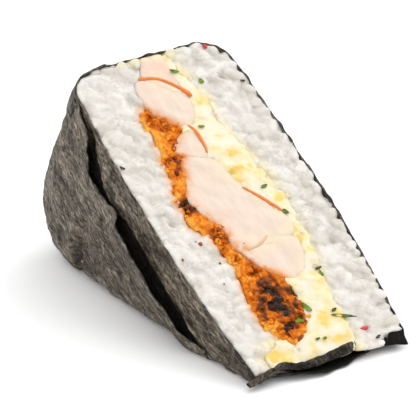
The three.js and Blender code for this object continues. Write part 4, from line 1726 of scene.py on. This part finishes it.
# %% Chilli, sauce and flakes
chilli = Finish("red_chilli", Roughness=0.35, Specular_IOR_Level=0.5)
chilli_noise = chilli.noise(scale=1.5, detail=2.0)
chilli.paint(chilli.ramp(chilli_noise, (0.3, rgb(190, 24, 30)), (0.7, rgb(232, 60, 62))))


def speck(name, a, c, size, material, seed, raise_by=0.1):
    """A small lump sitting in the surface at a place on the cut."""
    mesh = lump_mesh(name, size, 0.35, seed)
    co = np.array([v.co[:] for v in mesh.vertices]) / MM
    centre = np.array([a, surface_level(a, c) - raise_by, c])
    obj = mesh_object(name, co * [1, 0.6, 1] + centre, [p.vertices for p in mesh.polygons])
    obj.data.materials.append(material)
    return obj


specks = [
    speck("chilli_0", 76.5, 10.0, 1.7, chilli.material, 3),
    speck("chilli_1", 1.6, 14.2, 1.2, chilli.material, 5),
]
finish_piece(join("chilli_specks", specks), "crumb")

SAUCE = [
    (49.9, -17.4, 0.75), (47.4, -12.0, 0.9), (46.6, -12.6, 0.5), (53.1, -10.5, 0.75),
    (57.9, -12.3, 0.45), (50.4, -3.6, 0.4),
]
drops = [speck(f"sauce_{k}", *spec, crumb.material, 20 + k, 0.04) for k, spec in enumerate(SAUCE)]
sauce = join("sauce_specks", drops)
set_attribute(sauce, "char", 0.55)
set_attribute(sauce, "tone", 0.5)
finish_piece(sauce, "crumb")

FLAKES = [(25.4, -18.2, 1.1, 0.5, 40), (12.5, 17.2, 1.0, 0.5, 70), (79.3, 11.6, 1.2, 0.5, 100)]
flakes = []
for k, spec in enumerate(FLAKES):
    flakes.append(leaf(f"flake_{k}", *spec, nori.material, raise_by=0.14, curl=0.3, seed=40 + k))
finish_piece(join("nori_flakes", flakes), "nori")

# %% [markdown]
# ## Clear away the helpers
# Beds and the shapes that were strewn have done their work. They are removed, so that only the
# finished pieces remain.

# %% Remove beds and shapes
for bed in (thin_bed, thick_bed, rim_bed, egg_bed, crumb_bed):
    bpy.data.objects.remove(bed)
for shapes in (GRAINS, egg_shapes, crumb_shapes):
    for shape in list(shapes.objects):
        bpy.data.objects.remove(shape)
    bpy.data.collections.remove(shapes)

# %% [markdown]
# ## Floor and light
# Food is shown on a white sweep. A white floor under a white sky, with one large soft light from
# behind on the far side, gives the short soft shadow on the near side.

# %% Floor
floor_finish = Finish("pale_floor", Roughness=0.9, Specular_IOR_Level=0.1)
floor_finish.paint((0.92, 0.92, 0.92, 1))
floor_mesh = bpy.data.meshes.new("floor")
far_off = 3.0
floor_corners = [(x * far_off, y * far_off, 0) for x, y in ((-1, -1), (1, -1), (1, 1), (-1, 1))]
floor_mesh.from_pydata(floor_corners, [], [(0, 1, 2, 3)])
floor_mesh.materials.append(floor_finish.material)
floor = add_object("floor", floor_mesh)
print("floor:", 2 * far_off, "m across")

# %% Light
SKY_STRENGTH, KEY_POWER = 1.24, 4.2
world = bpy.data.worlds.new("studio")
world.use_nodes = True
sky = world.node_tree.nodes["Background"].inputs
sky["Color"].default_value = (1, 1, 1, 1)
sky["Strength"].default_value = SKY_STRENGTH
bpy.context.scene.world = world


def area_light(name, position, aim, size, power):
    light = bpy.data.lights.new(name, "AREA")
    light.size, light.energy = size, power
    obj = add_object(name, light)
    obj.location = position
    obj.rotation_euler = (Vector(aim) - Vector(position)).to_track_quat("-Z", "Y").to_euler()
    return obj


key_light = area_light("key", (-0.15, 0.65, 0.95), aim=(0, 0, 0.02), size=0.9, power=KEY_POWER)
print("key light:", KEY_POWER, "W at", round(key_light.location.length, 2), "m")

# %% [markdown]
# ## Camera
# A long lens from a fair distance keeps the half's own shape, without the swelling of a close
# view. It looks down the ramp of the cut from the apex's side. The plain Standard view transform
# keeps white rice white.

# %% Camera
VIEW_AZIMUTH, VIEW_ELEVATION, VIEW_DISTANCE, VIEW_ROLL = 58.35, 22.7, 0.86, -1.4
LENS, SENSOR = 366.0, 36.0
aim = Vector((0.0, 0.0, 0.0195))
a, e = math.radians(VIEW_AZIMUTH), math.radians(VIEW_ELEVATION)
back = Vector((math.sin(a) * math.cos(e), -math.cos(a) * math.cos(e), math.sin(e)))
camera = add_object("camera", bpy.data.cameras.new("camera"))
camera.data.lens, camera.data.sensor_width = LENS, SENSOR
camera.data.clip_start, camera.data.clip_end = 0.05, 20.0
camera.location = aim + back * VIEW_DISTANCE
camera.rotation_mode = "QUATERNION"
roll = Matrix.Rotation(math.radians(VIEW_ROLL), 3, back)
camera.rotation_quaternion = roll.to_quaternion() @ (-back).to_track_quat("-Z", "Y")
bpy.context.scene.camera = camera
bpy.context.scene.view_settings.view_transform = "Standard"
print("camera at", [round(v, 3) for v in camera.location])
